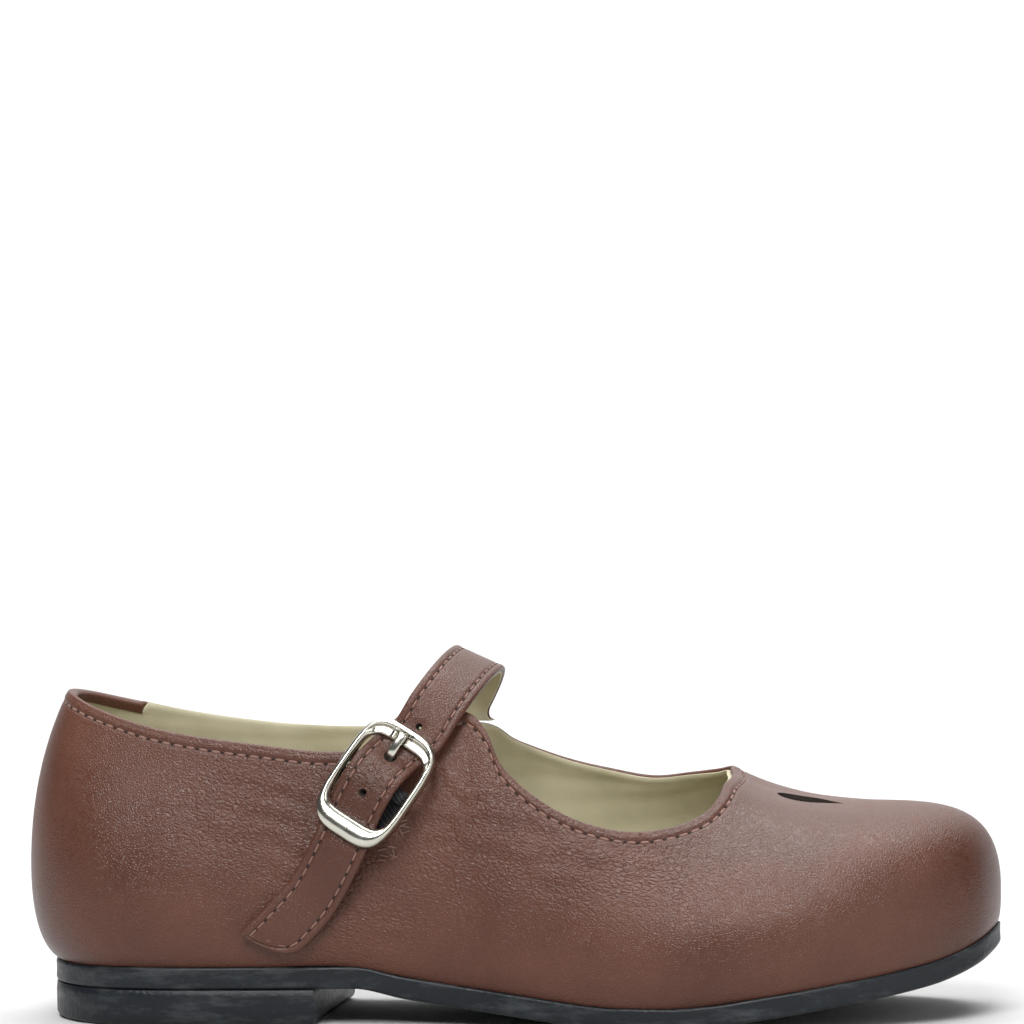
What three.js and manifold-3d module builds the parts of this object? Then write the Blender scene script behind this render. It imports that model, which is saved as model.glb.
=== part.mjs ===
// A child's right mary jane shoe with one buckled strap, standing empty on its sole.
// X runs from the heel to the toe, -Y is the outer side with the buckle, +Y the inner side, Z is up.
// The origin is the middle of the heel's flat ground face. Lengths are in millimetres.
import * as THREE from 'three';
import { mergeVertices } from 'three/addons/utils/BufferGeometryUtils.js';
import Module from 'manifold-3d';

const wasm = await Module();
wasm.setup();

// Driving sizes of the shoe
const shoeLength = 171.4;
const heelOverhang = 4.3;
const ballWidth = 57;
const heelHeight = 6.4;
const heelLength = 50;
const soleThickness = 3.9;
const soleEdgeRound = 0.7;
const heelFootRound = 1.2;
const toeSpring = 11.8;
const quarterHeight = 47.1;
const strapCrestHeight = 51.7;
const wall = 1.8;
const featherInset = 0.5;
const insoleThickness = 2;
const seatGap = 0.3;
const heelJointGap = 0.15;

// Driving sizes of the strap and its buckle
const strapWidth = 9.6;
const strapThickness = 1.5;
const strapGap = 0.35;
const strapFlare = 1.6;
const tipLength = 8;
const holeDiameter = 1.8;
const holePitch = 7.8;
const strapShift = 0.7;
const buckleLength = 22.3;
const buckleWidth = 15.2;
const buckleTurn = 33;
const buckleLean = 6;
const sideBar = 1.6;
const topBar = 3.4;
const bottomBar = 4.1;
const frameThickness = 1.6;
const frameSquareness = 3.6;
const openingSquareness = 5;
const barDiameter = 1.2;
const loopWall = 0.5;
const prongWidth = 1.6;
const prongThickness = 1;
const prongShift = 0.6;
const runningGap = 0.2;
const tabThickness = 0.5;
const tabLength = 9.5;

// Driving sizes of the cut-out in the vamp: its setback from the throat, its shift to the outer side and its
// turn to the outer side in degrees
const cutLength = 12.4;
const cutWidth = 6.6;
const cutSetback = 7.6;
const cutShift = 0.4;
const cutTurn = 20;

// Worked out from them
const soleStart = heelOverhang;
const soleLength = shoeLength - heelOverhang;
const seatZ = heelHeight + soleThickness;

// One row for each section from the middle of the heel round to the tip of the toe, used on both sides.
// sole is a share of the sole's length, y values are shares of the ball width, over is a share of the heel's
// overhang, belly and the rim heights are shares of the quarter's height, and rim is a share of the length.
// lean is the wall's slope from upright at the rim. rise and run set how square its shoulder is.
const sections = [
  { sole: 0, outY: 0, inY: 0, over: 1, belly: 0.33, rim: 0.041, rimOutY: 0, rimInY: 0, rimOut: 1, rimIn: 1,
    leanOut: 27, leanIn: 27, rise: 0.36, run: 0.33 },
  { sole: 0.018, outY: 0.193, inY: 0.193, over: 0.88, belly: 0.32, rim: 0.054, rimOutY: 0.128, rimInY: 0.128,
    rimOut: 0.982, rimIn: 0.984, leanOut: 26, leanIn: 26, rise: 0.36, run: 0.33 },
  { sole: 0.065, outY: 0.334, inY: 0.334, over: 0.64, belly: 0.29, rim: 0.09, rimOutY: 0.219, rimInY: 0.219,
    rimOut: 0.93, rimIn: 0.945, leanOut: 22, leanIn: 22, rise: 0.36, run: 0.33 },
  { sole: 0.137, outY: 0.386, inY: 0.386, over: 0.5, belly: 0.26, rim: 0.154, rimOutY: 0.289, rimInY: 0.289,
    rimOut: 0.862, rimIn: 0.887, leanOut: 16, leanIn: 16, rise: 0.36, run: 0.33 },
  { sole: 0.244, outY: 0.386, inY: 0.361, over: 0.42, belly: 0.25, rim: 0.256, rimOutY: 0.33, rimInY: 0.326,
    rimOut: 0.805, rimIn: 0.832, leanOut: 12, leanIn: 12, rise: 0.36, run: 0.33 },
  { sole: 0.333, outY: 0.375, inY: 0.326, over: 0.4, belly: 0.25, rim: 0.349, rimOutY: 0.34, rimInY: 0.328,
    rimOut: 0.777, rimIn: 0.82, leanOut: 12, leanIn: 12, rise: 0.36, run: 0.33 },
  { sole: 0.405, outY: 0.375, inY: 0.319, over: 0.38, belly: 0.25, rim: 0.416, rimOutY: 0.322, rimInY: 0.316,
    rimOut: 0.832, rimIn: 0.839, leanOut: 16, leanIn: 14, rise: 0.36, run: 0.33 },
  { sole: 0.452, outY: 0.389, inY: 0.326, over: 0.36, belly: 0.24, rim: 0.47, rimOutY: 0.284, rimInY: 0.312,
    rimOut: 0.915, rimIn: 0.825, leanOut: 22, leanIn: 20, rise: 0.36, run: 0.33 },
  { sole: 0.476, outY: 0.4, inY: 0.339, over: 0.34, belly: 0.23, rim: 0.492, rimOutY: 0.309, rimInY: 0.326,
    rimOut: 0.85, rimIn: 0.772, leanOut: 22, leanIn: 24, rise: 0.36, run: 0.33 },
  { sole: 0.5, outY: 0.418, inY: 0.358, over: 0.33, belly: 0.22, rim: 0.51, rimOutY: 0.345, rimInY: 0.335,
    rimOut: 0.72, rimIn: 0.744, leanOut: 20, leanIn: 26, rise: 0.34, run: 0.33 },
  { sole: 0.548, outY: 0.447, inY: 0.395, over: 0.3, belly: 0.21, rim: 0.551, rimOutY: 0.376, rimInY: 0.347,
    rimOut: 0.593, rimIn: 0.692, leanOut: 22, leanIn: 32, rise: 0.31, run: 0.33 },
  { sole: 0.607, outY: 0.486, inY: 0.435, over: 0.28, belly: 0.2, rim: 0.593, rimOutY: 0.386, rimInY: 0.351,
    rimOut: 0.518, rimIn: 0.656, leanOut: 27, leanIn: 38, rise: 0.28, run: 0.34 },
  { sole: 0.679, outY: 0.514, inY: 0.47, over: 0.28, belly: 0.2, rim: 0.64, rimOutY: 0.374, rimInY: 0.344,
    rimOut: 0.482, rimIn: 0.628, leanOut: 33, leanIn: 45, rise: 0.27, run: 0.35 },
  { sole: 0.756, outY: 0.516, inY: 0.477, over: 0.25, belly: 0.2, rim: 0.683, rimOutY: 0.328, rimInY: 0.307,
    rimOut: 0.497, rimIn: 0.645, leanOut: 41, leanIn: 52, rise: 0.29, run: 0.37 },
  { sole: 0.833, outY: 0.479, inY: 0.456, over: 0.2, belly: 0.2, rim: 0.712, rimOutY: 0.265, rimInY: 0.268,
    rimOut: 0.541, rimIn: 0.661, leanOut: 51, leanIn: 60, rise: 0.36, run: 0.39 },
  { sole: 0.899, outY: 0.401, inY: 0.408, over: 0.15, belly: 0.19, rim: 0.726, rimOutY: 0.19, rimInY: 0.218,
    rimOut: 0.601, rimIn: 0.674, leanOut: 56, leanIn: 60, rise: 0.44, run: 0.41 },
  { sole: 0.952, outY: 0.291, inY: 0.326, over: 0.1, belly: 0.17, rim: 0.729, rimOutY: 0.112, rimInY: 0.15,
    rimOut: 0.635, rimIn: 0.667, leanOut: 59, leanIn: 60, rise: 0.476, run: 0.42 },
  { sole: 0.985, outY: 0.172, inY: 0.214, over: 0.07, belly: 0.15, rim: 0.732, rimOutY: 0.03, rimInY: 0.095,
    rimOut: 0.647, rimIn: 0.657, leanOut: 60, leanIn: 60, rise: 0.481, run: 0.43 },
  { sole: 1, outY: -0.023, inY: 0.023, over: 0.05, belly: 0.14, rim: 0.733, rimOutY: -0.035, rimInY: 0.035,
    rimOut: 0.653, rimIn: 0.653, leanOut: 60, leanIn: 60, rise: 0.481, run: 0.43 },
];

// The sole's underside: x as a share of the sole's length, z as a share of the heel's height behind the
// forefoot's flat spot and of the toe spring in front of it.
const archProfile = [
  { x: 0, z: 1 }, { x: 0.339, z: 1 }, { x: 0.393, z: 0.72 }, { x: 0.44, z: 0.53 }, { x: 0.494, z: 0.34 },
  { x: 0.536, z: 0.2 }, { x: 0.575, z: 0.07 }, { x: 0.607, z: 0 },
];
const toeProfile = [
  { x: 0.679, z: 0 }, { x: 0.72, z: 0.06 }, { x: 0.76, z: 0.15 }, { x: 0.8, z: 0.235 }, { x: 0.84, z: 0.33 },
  { x: 0.892, z: 0.45 }, { x: 0.938, z: 0.58 }, { x: 0.96, z: 0.68 }, { x: 0.982, z: 0.82 }, { x: 1, z: 1 },
];

// Middle line of the strap's tail on the outer quarter and the middle of the buckle: shares of the length and
// of the quarter's height.
const tailLine = [{ x: 0.264, z: 0.066 }, { x: 0.292, z: 0.155 }, { x: 0.32, z: 0.265 }];
const bucklePlace = { x: 0.386, z: 0.65 };
const crestShare = 0.47;
const strapFootShare = 0.43;

// Mesh density
const columnsPerSection = 3;
const lowerRows = 4;
const upperRows = 10;

// Value of a table's z at x, by a smooth curve that never overshoots its rows
function smooth(table, x) {
  const last = table.length - 1;
  if (x <= table[0].x) return table[0].z;
  if (x >= table[last].x) return table[last].z;
  const secant = (i) => (table[i + 1].z - table[i].z) / (table[i + 1].x - table[i].x);
  const slope = (i) => {
    if (i === 0) return secant(0);
    if (i === last) return secant(last - 1);
    const before = secant(i - 1);
    const after = secant(i);
    return before * after <= 0 ? 0 : (2 * before * after) / (before + after);
  };
  const i = table.findIndex((row, k) => k < last && x < table[k + 1].x);
  const span = table[i + 1].x - table[i].x;
  const t = (x - table[i].x) / span;
  const hermite = (2 * t - 3) * t * t;
  const rise = (t - 1) * t * ((t - 1) * slope(i) + t * slope(i + 1)) * span;
  return table[i].z * (1 + hermite) - table[i + 1].z * hermite + rise;
}

function soleBottom(x) {
  const share = (x - soleStart) / soleLength;
  return share < toeProfile[0].x
    ? heelHeight * smooth(archProfile, share)
    : toeSpring * smooth(toeProfile, share);
}

function soleTop(x) {
  return soleBottom(x) + soleThickness;
}

// The same place, moved up or down to stand just over the sole
function onSole(point) {
  return point.setZ(soleTop(point.x) + seatGap);
}

// Closed loft curves round the shoe: outer side from heel to toe, then the inner side back to the heel
const last = sections.length - 1;
const loop = [
  ...sections.map((row) => ({ row, side: -1 })),
  ...sections.slice(1, last).reverse().map((row) => ({ row, side: 1 })),
];
const columns = loop.length * columnsPerSection;

function closedCurve(points) {
  return new THREE.CatmullRomCurve3(points, true, 'centripetal');
}

const soleCurve = closedCurve(loop.map(({ row, side }) => new THREE.Vector3(
  soleStart + row.sole * soleLength,
  side * ballWidth * (side < 0 ? row.outY : row.inY),
  0,
)));

function outwardAt(u) {
  const along = soleCurve.getTangent(u);
  return new THREE.Vector3(along.y, -along.x, 0).normalize();
}

function solePoint(u, inset) {
  return soleCurve.getPoint(u).addScaledVector(outwardAt(u), -inset);
}

// The seven control points of each section, from the feather edge over the belly to the rim
const controls = loop.map(({ row, side }, k) => {
  const outward = outwardAt(k / loop.length);
  const up = new THREE.Vector3(0, 0, 1);
  const feather = onSole(solePoint(k / loop.length, featherInset));
  const belly = feather.clone().addScaledVector(outward, featherInset + row.over * heelOverhang);
  belly.z = soleTop(feather.x) + row.belly * quarterHeight;
  const height = belly.z - feather.z;
  const rim = new THREE.Vector3(
    row.rim * shoeLength,
    side * ballWidth * (side < 0 ? row.rimOutY : row.rimInY),
    seatZ + quarterHeight * (side < 0 ? row.rimOut : row.rimIn),
  );
  const inward = new THREE.Vector3(rim.x - belly.x, rim.y - belly.y, 0).normalize();
  const lean = THREE.MathUtils.degToRad(side < 0 ? row.leanOut : row.leanIn);
  const reach = belly.distanceTo(rim);
  const slope = up.clone().multiplyScalar(Math.cos(lean)).addScaledVector(inward, Math.sin(lean));
  return [
    feather,
    feather.clone().addScaledVector(outward, 0.7 * belly.clone().sub(feather).setZ(0).length())
      .addScaledVector(up, 0.12 * height),
    belly.clone().addScaledVector(up, -0.5 * height),
    belly,
    belly.clone().addScaledVector(up, row.rise * reach),
    rim.clone().addScaledVector(slope, -row.run * reach),
    rim,
  ];
});
const controlCurves = controls[0].map((_, i) => closedCurve(controls.map((row) => row[i])));

function bezier(a, b, c, d, t) {
  const s = 1 - t;
  return a.clone().multiplyScalar(s * s * s)
    .addScaledVector(b, 3 * s * s * t)
    .addScaledVector(c, 3 * s * t * t)
    .addScaledVector(d, t * t * t);
}

// Outer face of the upper: u runs round the shoe, v from 0 at the feather by 1 at the belly to 2 at the rim
function outerPoint(u, v) {
  const c = controlCurves.map((curve) => curve.getPoint(((u % 1) + 1) % 1));
  return v <= 1 ? bezier(c[0], c[1], c[2], c[3], v) : bezier(c[3], c[4], c[5], c[6], v - 1);
}

function outerNormal(u, v) {
  const step = 0.002;
  const along = outerPoint(u + step, v).sub(outerPoint(u - step, v));
  const up = outerPoint(u, Math.min(2, v + step)).sub(outerPoint(u, Math.max(0, v - step)));
  return along.cross(up).normalize();
}

// Closed solid from rings of points. The rings are joined in turn, and back to the first one where they
// form a tube round the shoe; otherwise both end rings are capped from side to side.
function solidFromRings(rings, tube) {
  const size = rings[0].length;
  const index = [];
  const turns = tube ? rings.length : rings.length - 1;
  for (let r = 0; r < turns; r++) {
    const next = (r + 1) % rings.length;
    for (let i = 0; i < size; i++) {
      const j = (i + 1) % size;
      const a = r * size + i;
      const b = r * size + j;
      const c = next * size + j;
      const d = next * size + i;
      index.push(a, b, c, a, c, d);
    }
  }
  if (!tube) {
    const base = (rings.length - 1) * size;
    for (let i = 0; i < size / 2; i++) {
      const far = (size - i) % size;
      const nearFar = size - i - 1;
      index.push(i, far, nearFar, i, nearFar, i + 1);
      index.push(base + i, base + nearFar, base + far, base + i, base + i + 1, base + nearFar);
    }
  }
  const position = new Float32Array(rings.flat().flatMap((p) => [p.x, p.y, p.z]));
  return facingOut(position, index);
}

// Geometry of whole triangles only, with the faces turned outwards
function facingOut(position, index) {
  const geometry = new THREE.BufferGeometry();
  geometry.setAttribute('position', new THREE.BufferAttribute(position, 3));
  geometry.setIndex(index);
  const merged = mergeVertices(geometry, 1e-5);
  const at = (i) => new THREE.Vector3().fromBufferAttribute(merged.attributes.position, i);
  const source = merged.index.array;
  const kept = [];
  let volume = 0;
  for (let i = 0; i < source.length; i += 3) {
    const [a, b, c] = [source[i], source[i + 1], source[i + 2]];
    if (a === b || b === c || c === a) continue;
    kept.push(a, b, c);
    volume += at(a).dot(at(b).cross(at(c)));
  }
  merged.setIndex(volume < 0 ? kept.reverse() : kept);
  return merged;
}

function toManifold(geometry) {
  const plain = geometry.clone();
  plain.deleteAttribute('normal');
  plain.deleteAttribute('uv');
  const merged = mergeVertices(plain, 1e-5);
  return new wasm.Manifold(new wasm.Mesh({
    numProp: 3,
    vertProperties: new Float32Array(merged.attributes.position.array),
    triVerts: new Uint32Array(merged.index.array),
  }));
}

function toGeometry(manifold) {
  const mesh = manifold.getMesh();
  const geometry = new THREE.BufferGeometry();
  geometry.setAttribute('position', new THREE.BufferAttribute(new Float32Array(mesh.vertProperties), 3));
  geometry.setIndex([...mesh.triVerts]);
  return geometry;
}

// Outsole: both faces follow the arch and the toe spring, with rounded edges top and bottom
function outsole() {
  const ring = (inset, height) => Array.from({ length: columns }, (_, k) => {
    const p = solePoint(k / columns, inset);
    p.z = height(p.x);
    return p;
  });
  const edge = soleEdgeRound;
  return solidFromRings([
    ring(edge, (x) => soleBottom(x)),
    ring(edge * 0.3, (x) => soleBottom(x) + edge * 0.3),
    ring(0, (x) => soleBottom(x) + edge),
    ring(0, (x) => soleTop(x) - edge),
    ring(edge * 0.3, (x) => soleTop(x) - edge * 0.3),
    ring(edge, (x) => soleTop(x)),
  ], false);
}

// Place on the sole's outline where one side reaches x, searched from the heel to the ball
function outlineShare(x, side) {
  let low = 0;
  let high = 0.4;
  for (let n = 0; n < 40; n++) {
    const middle = (low + high) / 2;
    if (soleCurve.getPoint(side < 0 ? middle : 1 - middle).x < x) low = middle;
    else high = middle;
  }
  return side < 0 ? low : 1 - low;
}

// Heel block under the seat: straight breast, outline flush with the sole and a rounded foot
function heelBlock() {
  const steps = 18;
  const breastX = soleStart + heelLength;
  const outer = outlineShare(breastX, -1);
  const inner = outlineShare(breastX, 1) - 1;
  const ring = (inset, z) => {
    const shares = [
      ...Array.from({ length: steps + 1 }, (_, k) => (outer * k) / steps),
      ...Array.from({ length: steps }, (_, k) => (inner * (steps - k)) / steps),
    ];
    const points = shares.map((u) => {
      const p = solePoint((u + 1) % 1, inset);
      p.x = Math.min(p.x, breastX - inset);
      p.z = z;
      return p;
    });
    points.splice(steps + 1, 0, points[steps].clone().lerp(points[steps + 1], 0.5));
    return points;
  };
  const round = heelFootRound;
  return solidFromRings([
    ring(round, 0),
    ring(round * 0.3, round * 0.3),
    ring(0, round),
    ring(0, heelHeight - heelJointGap),
  ], false);
}

// Insole inside the feather edge of the upper
function insole() {
  const inset = featherInset + wall + seatGap;
  const ring = (extra, lift) => Array.from({ length: columns }, (_, k) => {
    const p = solePoint(k / columns, inset + extra);
    p.z = soleTop(p.x) + seatGap + lift;
    return p;
  });
  const round = insoleThickness * 0.3;
  return solidFromRings([
    ring(0, 0),
    ring(0, insoleThickness - round),
    ring(round, insoleThickness),
  ], false);
}

// Rows of v from the feather to the rim, closer together at the tight curve over the feather
const rowShares = [
  ...Array.from({ length: lowerRows }, (_, k) => k / lowerRows),
  ...Array.from({ length: upperRows + 1 }, (_, k) => 1 + k / upperRows),
];

const outerGrid = rowShares.map((v) => Array.from({ length: columns }, (_, k) => ({
  point: v === 0 ? onSole(outerPoint(k / columns, v)) : outerPoint(k / columns, v),
  normal: outerNormal(k / columns, v),
})));

// Upper: one hollow wall, open at the collar and throat and underneath, with a turned top edge
function upperShell() {
  const outer = outerGrid.map((row) => row.map(({ point }) => point));
  const inner = outerGrid.map((row, r) => row.map(({ point, normal }, k) => (
    r === 0
      ? onSole(point.clone().addScaledVector(outwardAt(k / columns), -wall))
      : point.clone().addScaledVector(normal, -wall)
  )));
  const rim = outer.length - 1;
  const crown = outer[rim].map((point, k) => {
    const up = point.clone().sub(outer[rim - 1][k]).normalize();
    return point.clone().lerp(inner[rim][k], 0.5).addScaledVector(up, wall * 0.3);
  });
  return solidFromRings([...outer, crown, ...inner.reverse()], true);
}

// Drop-shaped hole through the vamp in front of the throat, its point towards the toe
function vampCut() {
  const front = sections[last];
  const half = cutWidth / 2;
  const drop = new THREE.Shape();
  drop.moveTo(0, 0);
  drop.bezierCurveTo(0, -half, cutLength * 0.35, -half * 1.25, cutLength * 0.6, -half * 0.75);
  drop.quadraticCurveTo(cutLength * 0.8, -half * 0.3, cutLength, 0);
  drop.quadraticCurveTo(cutLength * 0.8, half * 0.3, cutLength * 0.6, half * 0.75);
  drop.bezierCurveTo(cutLength * 0.35, half * 1.25, 0, half, 0, 0);
  const geometry = new THREE.ExtrudeGeometry(drop, {
    depth: quarterHeight, bevelEnabled: false, curveSegments: 5,
  });
  geometry.rotateZ(-THREE.MathUtils.degToRad(cutTurn));
  geometry.translate(front.rim * shoeLength + cutSetback, ballWidth * front.rimInY - cutShift,
    seatZ + quarterHeight * 0.35);
  return geometry;
}

// Point and outward direction of the outer quarter at a place in the side view
function onQuarter(x, z) {
  for (let r = 0; r < outerGrid.length - 1; r++) {
    for (let k = 0; k < columns / 2; k++) {
      const quad = [outerGrid[r][k], outerGrid[r][k + 1], outerGrid[r + 1][k + 1], outerGrid[r + 1][k]];
      for (const [a, b, c] of [[quad[0], quad[1], quad[2]], [quad[0], quad[2], quad[3]]]) {
        const ab = b.point.clone().sub(a.point);
        const ac = c.point.clone().sub(a.point);
        const area = ab.x * ac.z - ab.z * ac.x;
        if (Math.abs(area) < 1e-9) continue;
        const s = ((x - a.point.x) * ac.z - (z - a.point.z) * ac.x) / area;
        const t = (ab.x * (z - a.point.z) - ab.z * (x - a.point.x)) / area;
        if (s < -1e-6 || t < -1e-6 || s + t > 1 + 1e-6) continue;
        return {
          point: a.point.clone().addScaledVector(ab, s).addScaledVector(ac, t),
          normal: a.normal.clone().multiplyScalar(1 - s - t)
            .addScaledVector(b.normal, s).addScaledVector(c.normal, t).normalize(),
        };
      }
    }
  }
  return null;
}

// Highest the outer quarter stands above a plane within a reach of its point
function bulgeAbove(point, normal, reach) {
  let highest = 0;
  for (const row of outerGrid) {
    for (const { point: p } of row) {
      if (p.distanceTo(point) < reach) highest = Math.max(highest, p.clone().sub(point).dot(normal));
    }
  }
  return highest;
}

// Frame of the buckle on the quarter: a up the strap, w across it towards the toe, n out of the shoe
const buckleSeat = (() => {
  const seat = onQuarter(bucklePlace.x * shoeLength, seatZ + bucklePlace.z * quarterHeight);
  const level = new THREE.Vector3(0, 0, 1).cross(seat.normal).normalize();
  const n = seat.normal.clone().applyAxisAngle(level, -THREE.MathUtils.degToRad(buckleLean));
  const upright = n.clone().cross(level);
  const turn = THREE.MathUtils.degToRad(buckleTurn);
  const a = upright.multiplyScalar(Math.cos(turn)).addScaledVector(level, Math.sin(turn));
  const w = a.clone().cross(n);
  return { origin: seat.point, a, w, n, base: bulgeAbove(seat.point, n, buckleLength / 2) };
})();

function atBuckle(w, a, n) {
  return buckleSeat.origin.clone()
    .addScaledVector(buckleSeat.w, w)
    .addScaledVector(buckleSeat.a, a)
    .addScaledVector(buckleSeat.n, buckleSeat.base + n);
}

const buckleMatrix = new THREE.Matrix4()
  .makeBasis(buckleSeat.w, buckleSeat.a, buckleSeat.n)
  .setPosition(atBuckle(0, 0, 0));

// Heights over the quarter, all stacked from the same thicknesses and gaps
const innerTop = buckleLength / 2 - topBar;
const innerBottom = -buckleLength / 2 + bottomBar;
const barA = (innerTop + innerBottom) / 2;
const tailLift = strapGap + strapThickness / 2;
const bandLift = strapGap + tabThickness + seatGap + strapThickness / 2;
const frameLow = bandLift + strapThickness / 2 + seatGap;
const frameTop = frameLow + frameThickness;
const loopRadius = barDiameter / 2 + runningGap + loopWall;
const barLift = strapGap + loopRadius;
const humpLift = barLift + loopRadius + seatGap + strapThickness / 2;

// The strap's route: tail, under the bottom bar, over the middle bar, under the top bar, then the arch
const strapRoute = (() => {
  const route = [];
  for (const row of tailLine) {
    const seat = onQuarter(row.x * shoeLength, seatZ + row.z * quarterHeight);
    const lift = tailLift + bulgeAbove(seat.point, seat.normal, strapWidth / 2);
    route.push({ point: seat.point.addScaledVector(seat.normal, lift), normal: seat.normal });
  }
  const n = buckleSeat.n;
  const place = (w, a, lift) => route.push({ point: atBuckle(w * strapShift, a, lift), normal: n.clone() });
  place(0.7, -buckleLength / 2, bandLift);
  place(-0.8, innerBottom + 0.1 * (barA - innerBottom), bandLift);
  place(-1, barA - 0.22 * (barA - innerBottom), humpLift);
  place(-1, barA + 0.22 * (innerTop - barA), humpLift);
  place(-0.4, innerTop - 0.1 * (innerTop - barA), bandLift);
  place(1.4, buckleLength / 2, bandLift);
  const outerFoot = route[route.length - 1];
  const foot = medialFoot();
  const crest = new THREE.Vector3(crestShare * shoeLength, 0.01 * ballWidth, seatZ + strapCrestHeight);
  for (const degrees of [22, 45, 68, 90, 112, 135, 158]) {
    const angle = THREE.MathUtils.degToRad(degrees);
    const end = degrees < 90 ? outerFoot.point : foot.point;
    const point = new THREE.Vector3(
      THREE.MathUtils.lerp(end.x, crest.x, Math.sin(angle)),
      THREE.MathUtils.lerp(crest.y, end.y, Math.abs(Math.cos(angle))),
      THREE.MathUtils.lerp(end.z, crest.z, Math.sin(angle)),
    );
    const radial = new THREE.Vector3(0.42 * Math.sin(angle), -Math.cos(angle), 0.91 * Math.sin(angle));
    route.push({ point, normal: radial.normalize() });
  }
  route.push(foot);
  return route;
})();

// Where the strap stands on the inner quarter's edge, in line with the middle of its wall
function medialFoot() {
  let u = 0.5;
  while (outerPoint(u, 2).x > strapFootShare * shoeLength && u < 1) u += 0.001;
  const rim = outerPoint(u, 2);
  const normal = outerNormal(u, 2);
  const up = rim.clone().sub(outerPoint(u, 1.95)).normalize();
  return {
    point: rim.addScaledVector(normal, -wall / 2).addScaledVector(up, wall * 0.3 + seatGap),
    normal,
    along: outerPoint(u - 0.01, 2).sub(outerPoint(u + 0.01, 2)).normalize(),
  };
}

// Width, thickness and middle line of the strap at a share of its route
const routeCurve = new THREE.CatmullRomCurve3(strapRoute.map((stop) => stop.point), false, 'centripetal');
const strapStations = 62;

function strapFrame(t) {
  const along = routeCurve.getTangent(t);
  const k = Math.min(Math.floor(t * (strapRoute.length - 1)), strapRoute.length - 2);
  const part = t * (strapRoute.length - 1) - k;
  const normal = strapRoute[k].normal.clone().lerp(strapRoute[k + 1].normal, part);
  normal.addScaledVector(along, -normal.dot(along)).normalize();
  const across = new THREE.Vector3().crossVectors(along, normal);
  return { point: routeCurve.getPoint(t), along, normal, across };
}

function strapRing(t, lengthFromTip, lengthToFoot) {
  const { point, normal, across } = strapFrame(t);
  const foot = strapRoute[strapRoute.length - 1];
  const flare = Math.max(0, 1 - lengthToFoot / (3 * strapFlare)) ** 2;
  const blend = Math.max(0, 1 - lengthToFoot / strapWidth) ** 2;
  const side = across.clone().lerp(foot.along, blend).normalize();
  const slant = 1 / Math.max(0.6, Math.abs(across.dot(side)));
  const half = (strapWidth / 2) * THREE.MathUtils.lerp(1, slant, blend) + flare * strapFlare;
  const open = 1 - Math.max(0, 1 - lengthFromTip / tipLength) ** 3.5;
  const back = -half;
  const front = -half + 2 * half * Math.max(open, 0.03);
  const thick = strapThickness / 2;
  const soft = thick * 0.45;
  const corner = (w, n) => point.clone().addScaledVector(side, w).addScaledVector(normal, n);
  const pinch = Math.min(soft, (front - back) / 3);
  return [
    corner(back, soft), corner(back, -soft), corner(back + pinch, -thick), corner(front - pinch, -thick),
    corner(front, -soft), corner(front, soft), corner(front - pinch, thick), corner(back + pinch, thick),
  ];
}

function strapBody() {
  const lengths = routeCurve.getLengths(400);
  const total = lengths[400];
  const lengthAt = (t) => lengths[Math.round(t * 400)];
  const rings = [];
  for (let k = 0; k <= strapStations; k++) {
    const t = k < 8 ? (k / 8) ** 1.4 * (8 / strapStations) : k / strapStations;
    rings.push(strapRing(t, lengthAt(t), total - lengthAt(t)));
  }
  return solidFromRings(rings, false);
}

// Buckle frame: a rounded, barrel-sided ring of four bars with the middle bar the prong turns on
function superellipse(angle, halfW, halfA, centreA, squareness) {
  const power = 2 / squareness;
  const c = Math.cos(angle);
  const s = Math.sin(angle);
  return [Math.sign(c) * Math.abs(c) ** power * halfW, centreA + Math.sign(s) * Math.abs(s) ** power * halfA];
}

function buckleRing() {
  const steps = 44;
  const rings = [];
  for (let k = 0; k < steps; k++) {
    const angle = (2 * Math.PI * k) / steps;
    const [ow, oa] = superellipse(angle, buckleWidth / 2, buckleLength / 2, 0, frameSquareness);
    const [iw, ia] = superellipse(
      angle, buckleWidth / 2 - sideBar, (innerTop - innerBottom) / 2, barA, openingSquareness,
    );
    const across = (share, n) => new THREE.Vector3(ow + (iw - ow) * share, oa + (ia - oa) * share, n);
    rings.push([
      across(0.12, frameLow), across(0, frameLow + frameThickness * 0.35),
      across(0.12, frameLow + frameThickness * 0.8), across(0.4, frameTop),
      across(0.75, frameLow + frameThickness * 0.85), across(1, frameLow + frameThickness * 0.4),
      across(0.9, frameLow),
    ]);
  }
  return solidFromRings(rings, true);
}

function buckleFrame() {
  const bar = new THREE.CylinderGeometry(barDiameter / 2, barDiameter / 2, buckleWidth - sideBar, 12);
  bar.rotateZ(Math.PI / 2);
  bar.translate(0, barA, barLift);
  const lugTop = frameLow + frameThickness * 0.4;
  const lugs = [-1, 1].map((side) => {
    const lug = new THREE.BoxGeometry(sideBar * 0.7, barDiameter * 1.3, lugTop - barLift);
    lug.translate(side * (buckleWidth / 2 - sideBar * 0.55), barA, (lugTop + barLift) / 2);
    return lug;
  });
  const notch = new THREE.BoxGeometry(prongWidth + 2 * runningGap, topBar * 1.6, frameThickness);
  notch.translate(-prongShift, buckleLength / 2 - topBar * 0.9, frameTop + frameThickness * 0.2);
  let solid = toManifold(buckleRing()).add(toManifold(bar));
  for (const lug of lugs) solid = solid.add(toManifold(lug));
  return toGeometry(solid.subtract(toManifold(notch))).applyMatrix4(buckleMatrix);
}

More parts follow.
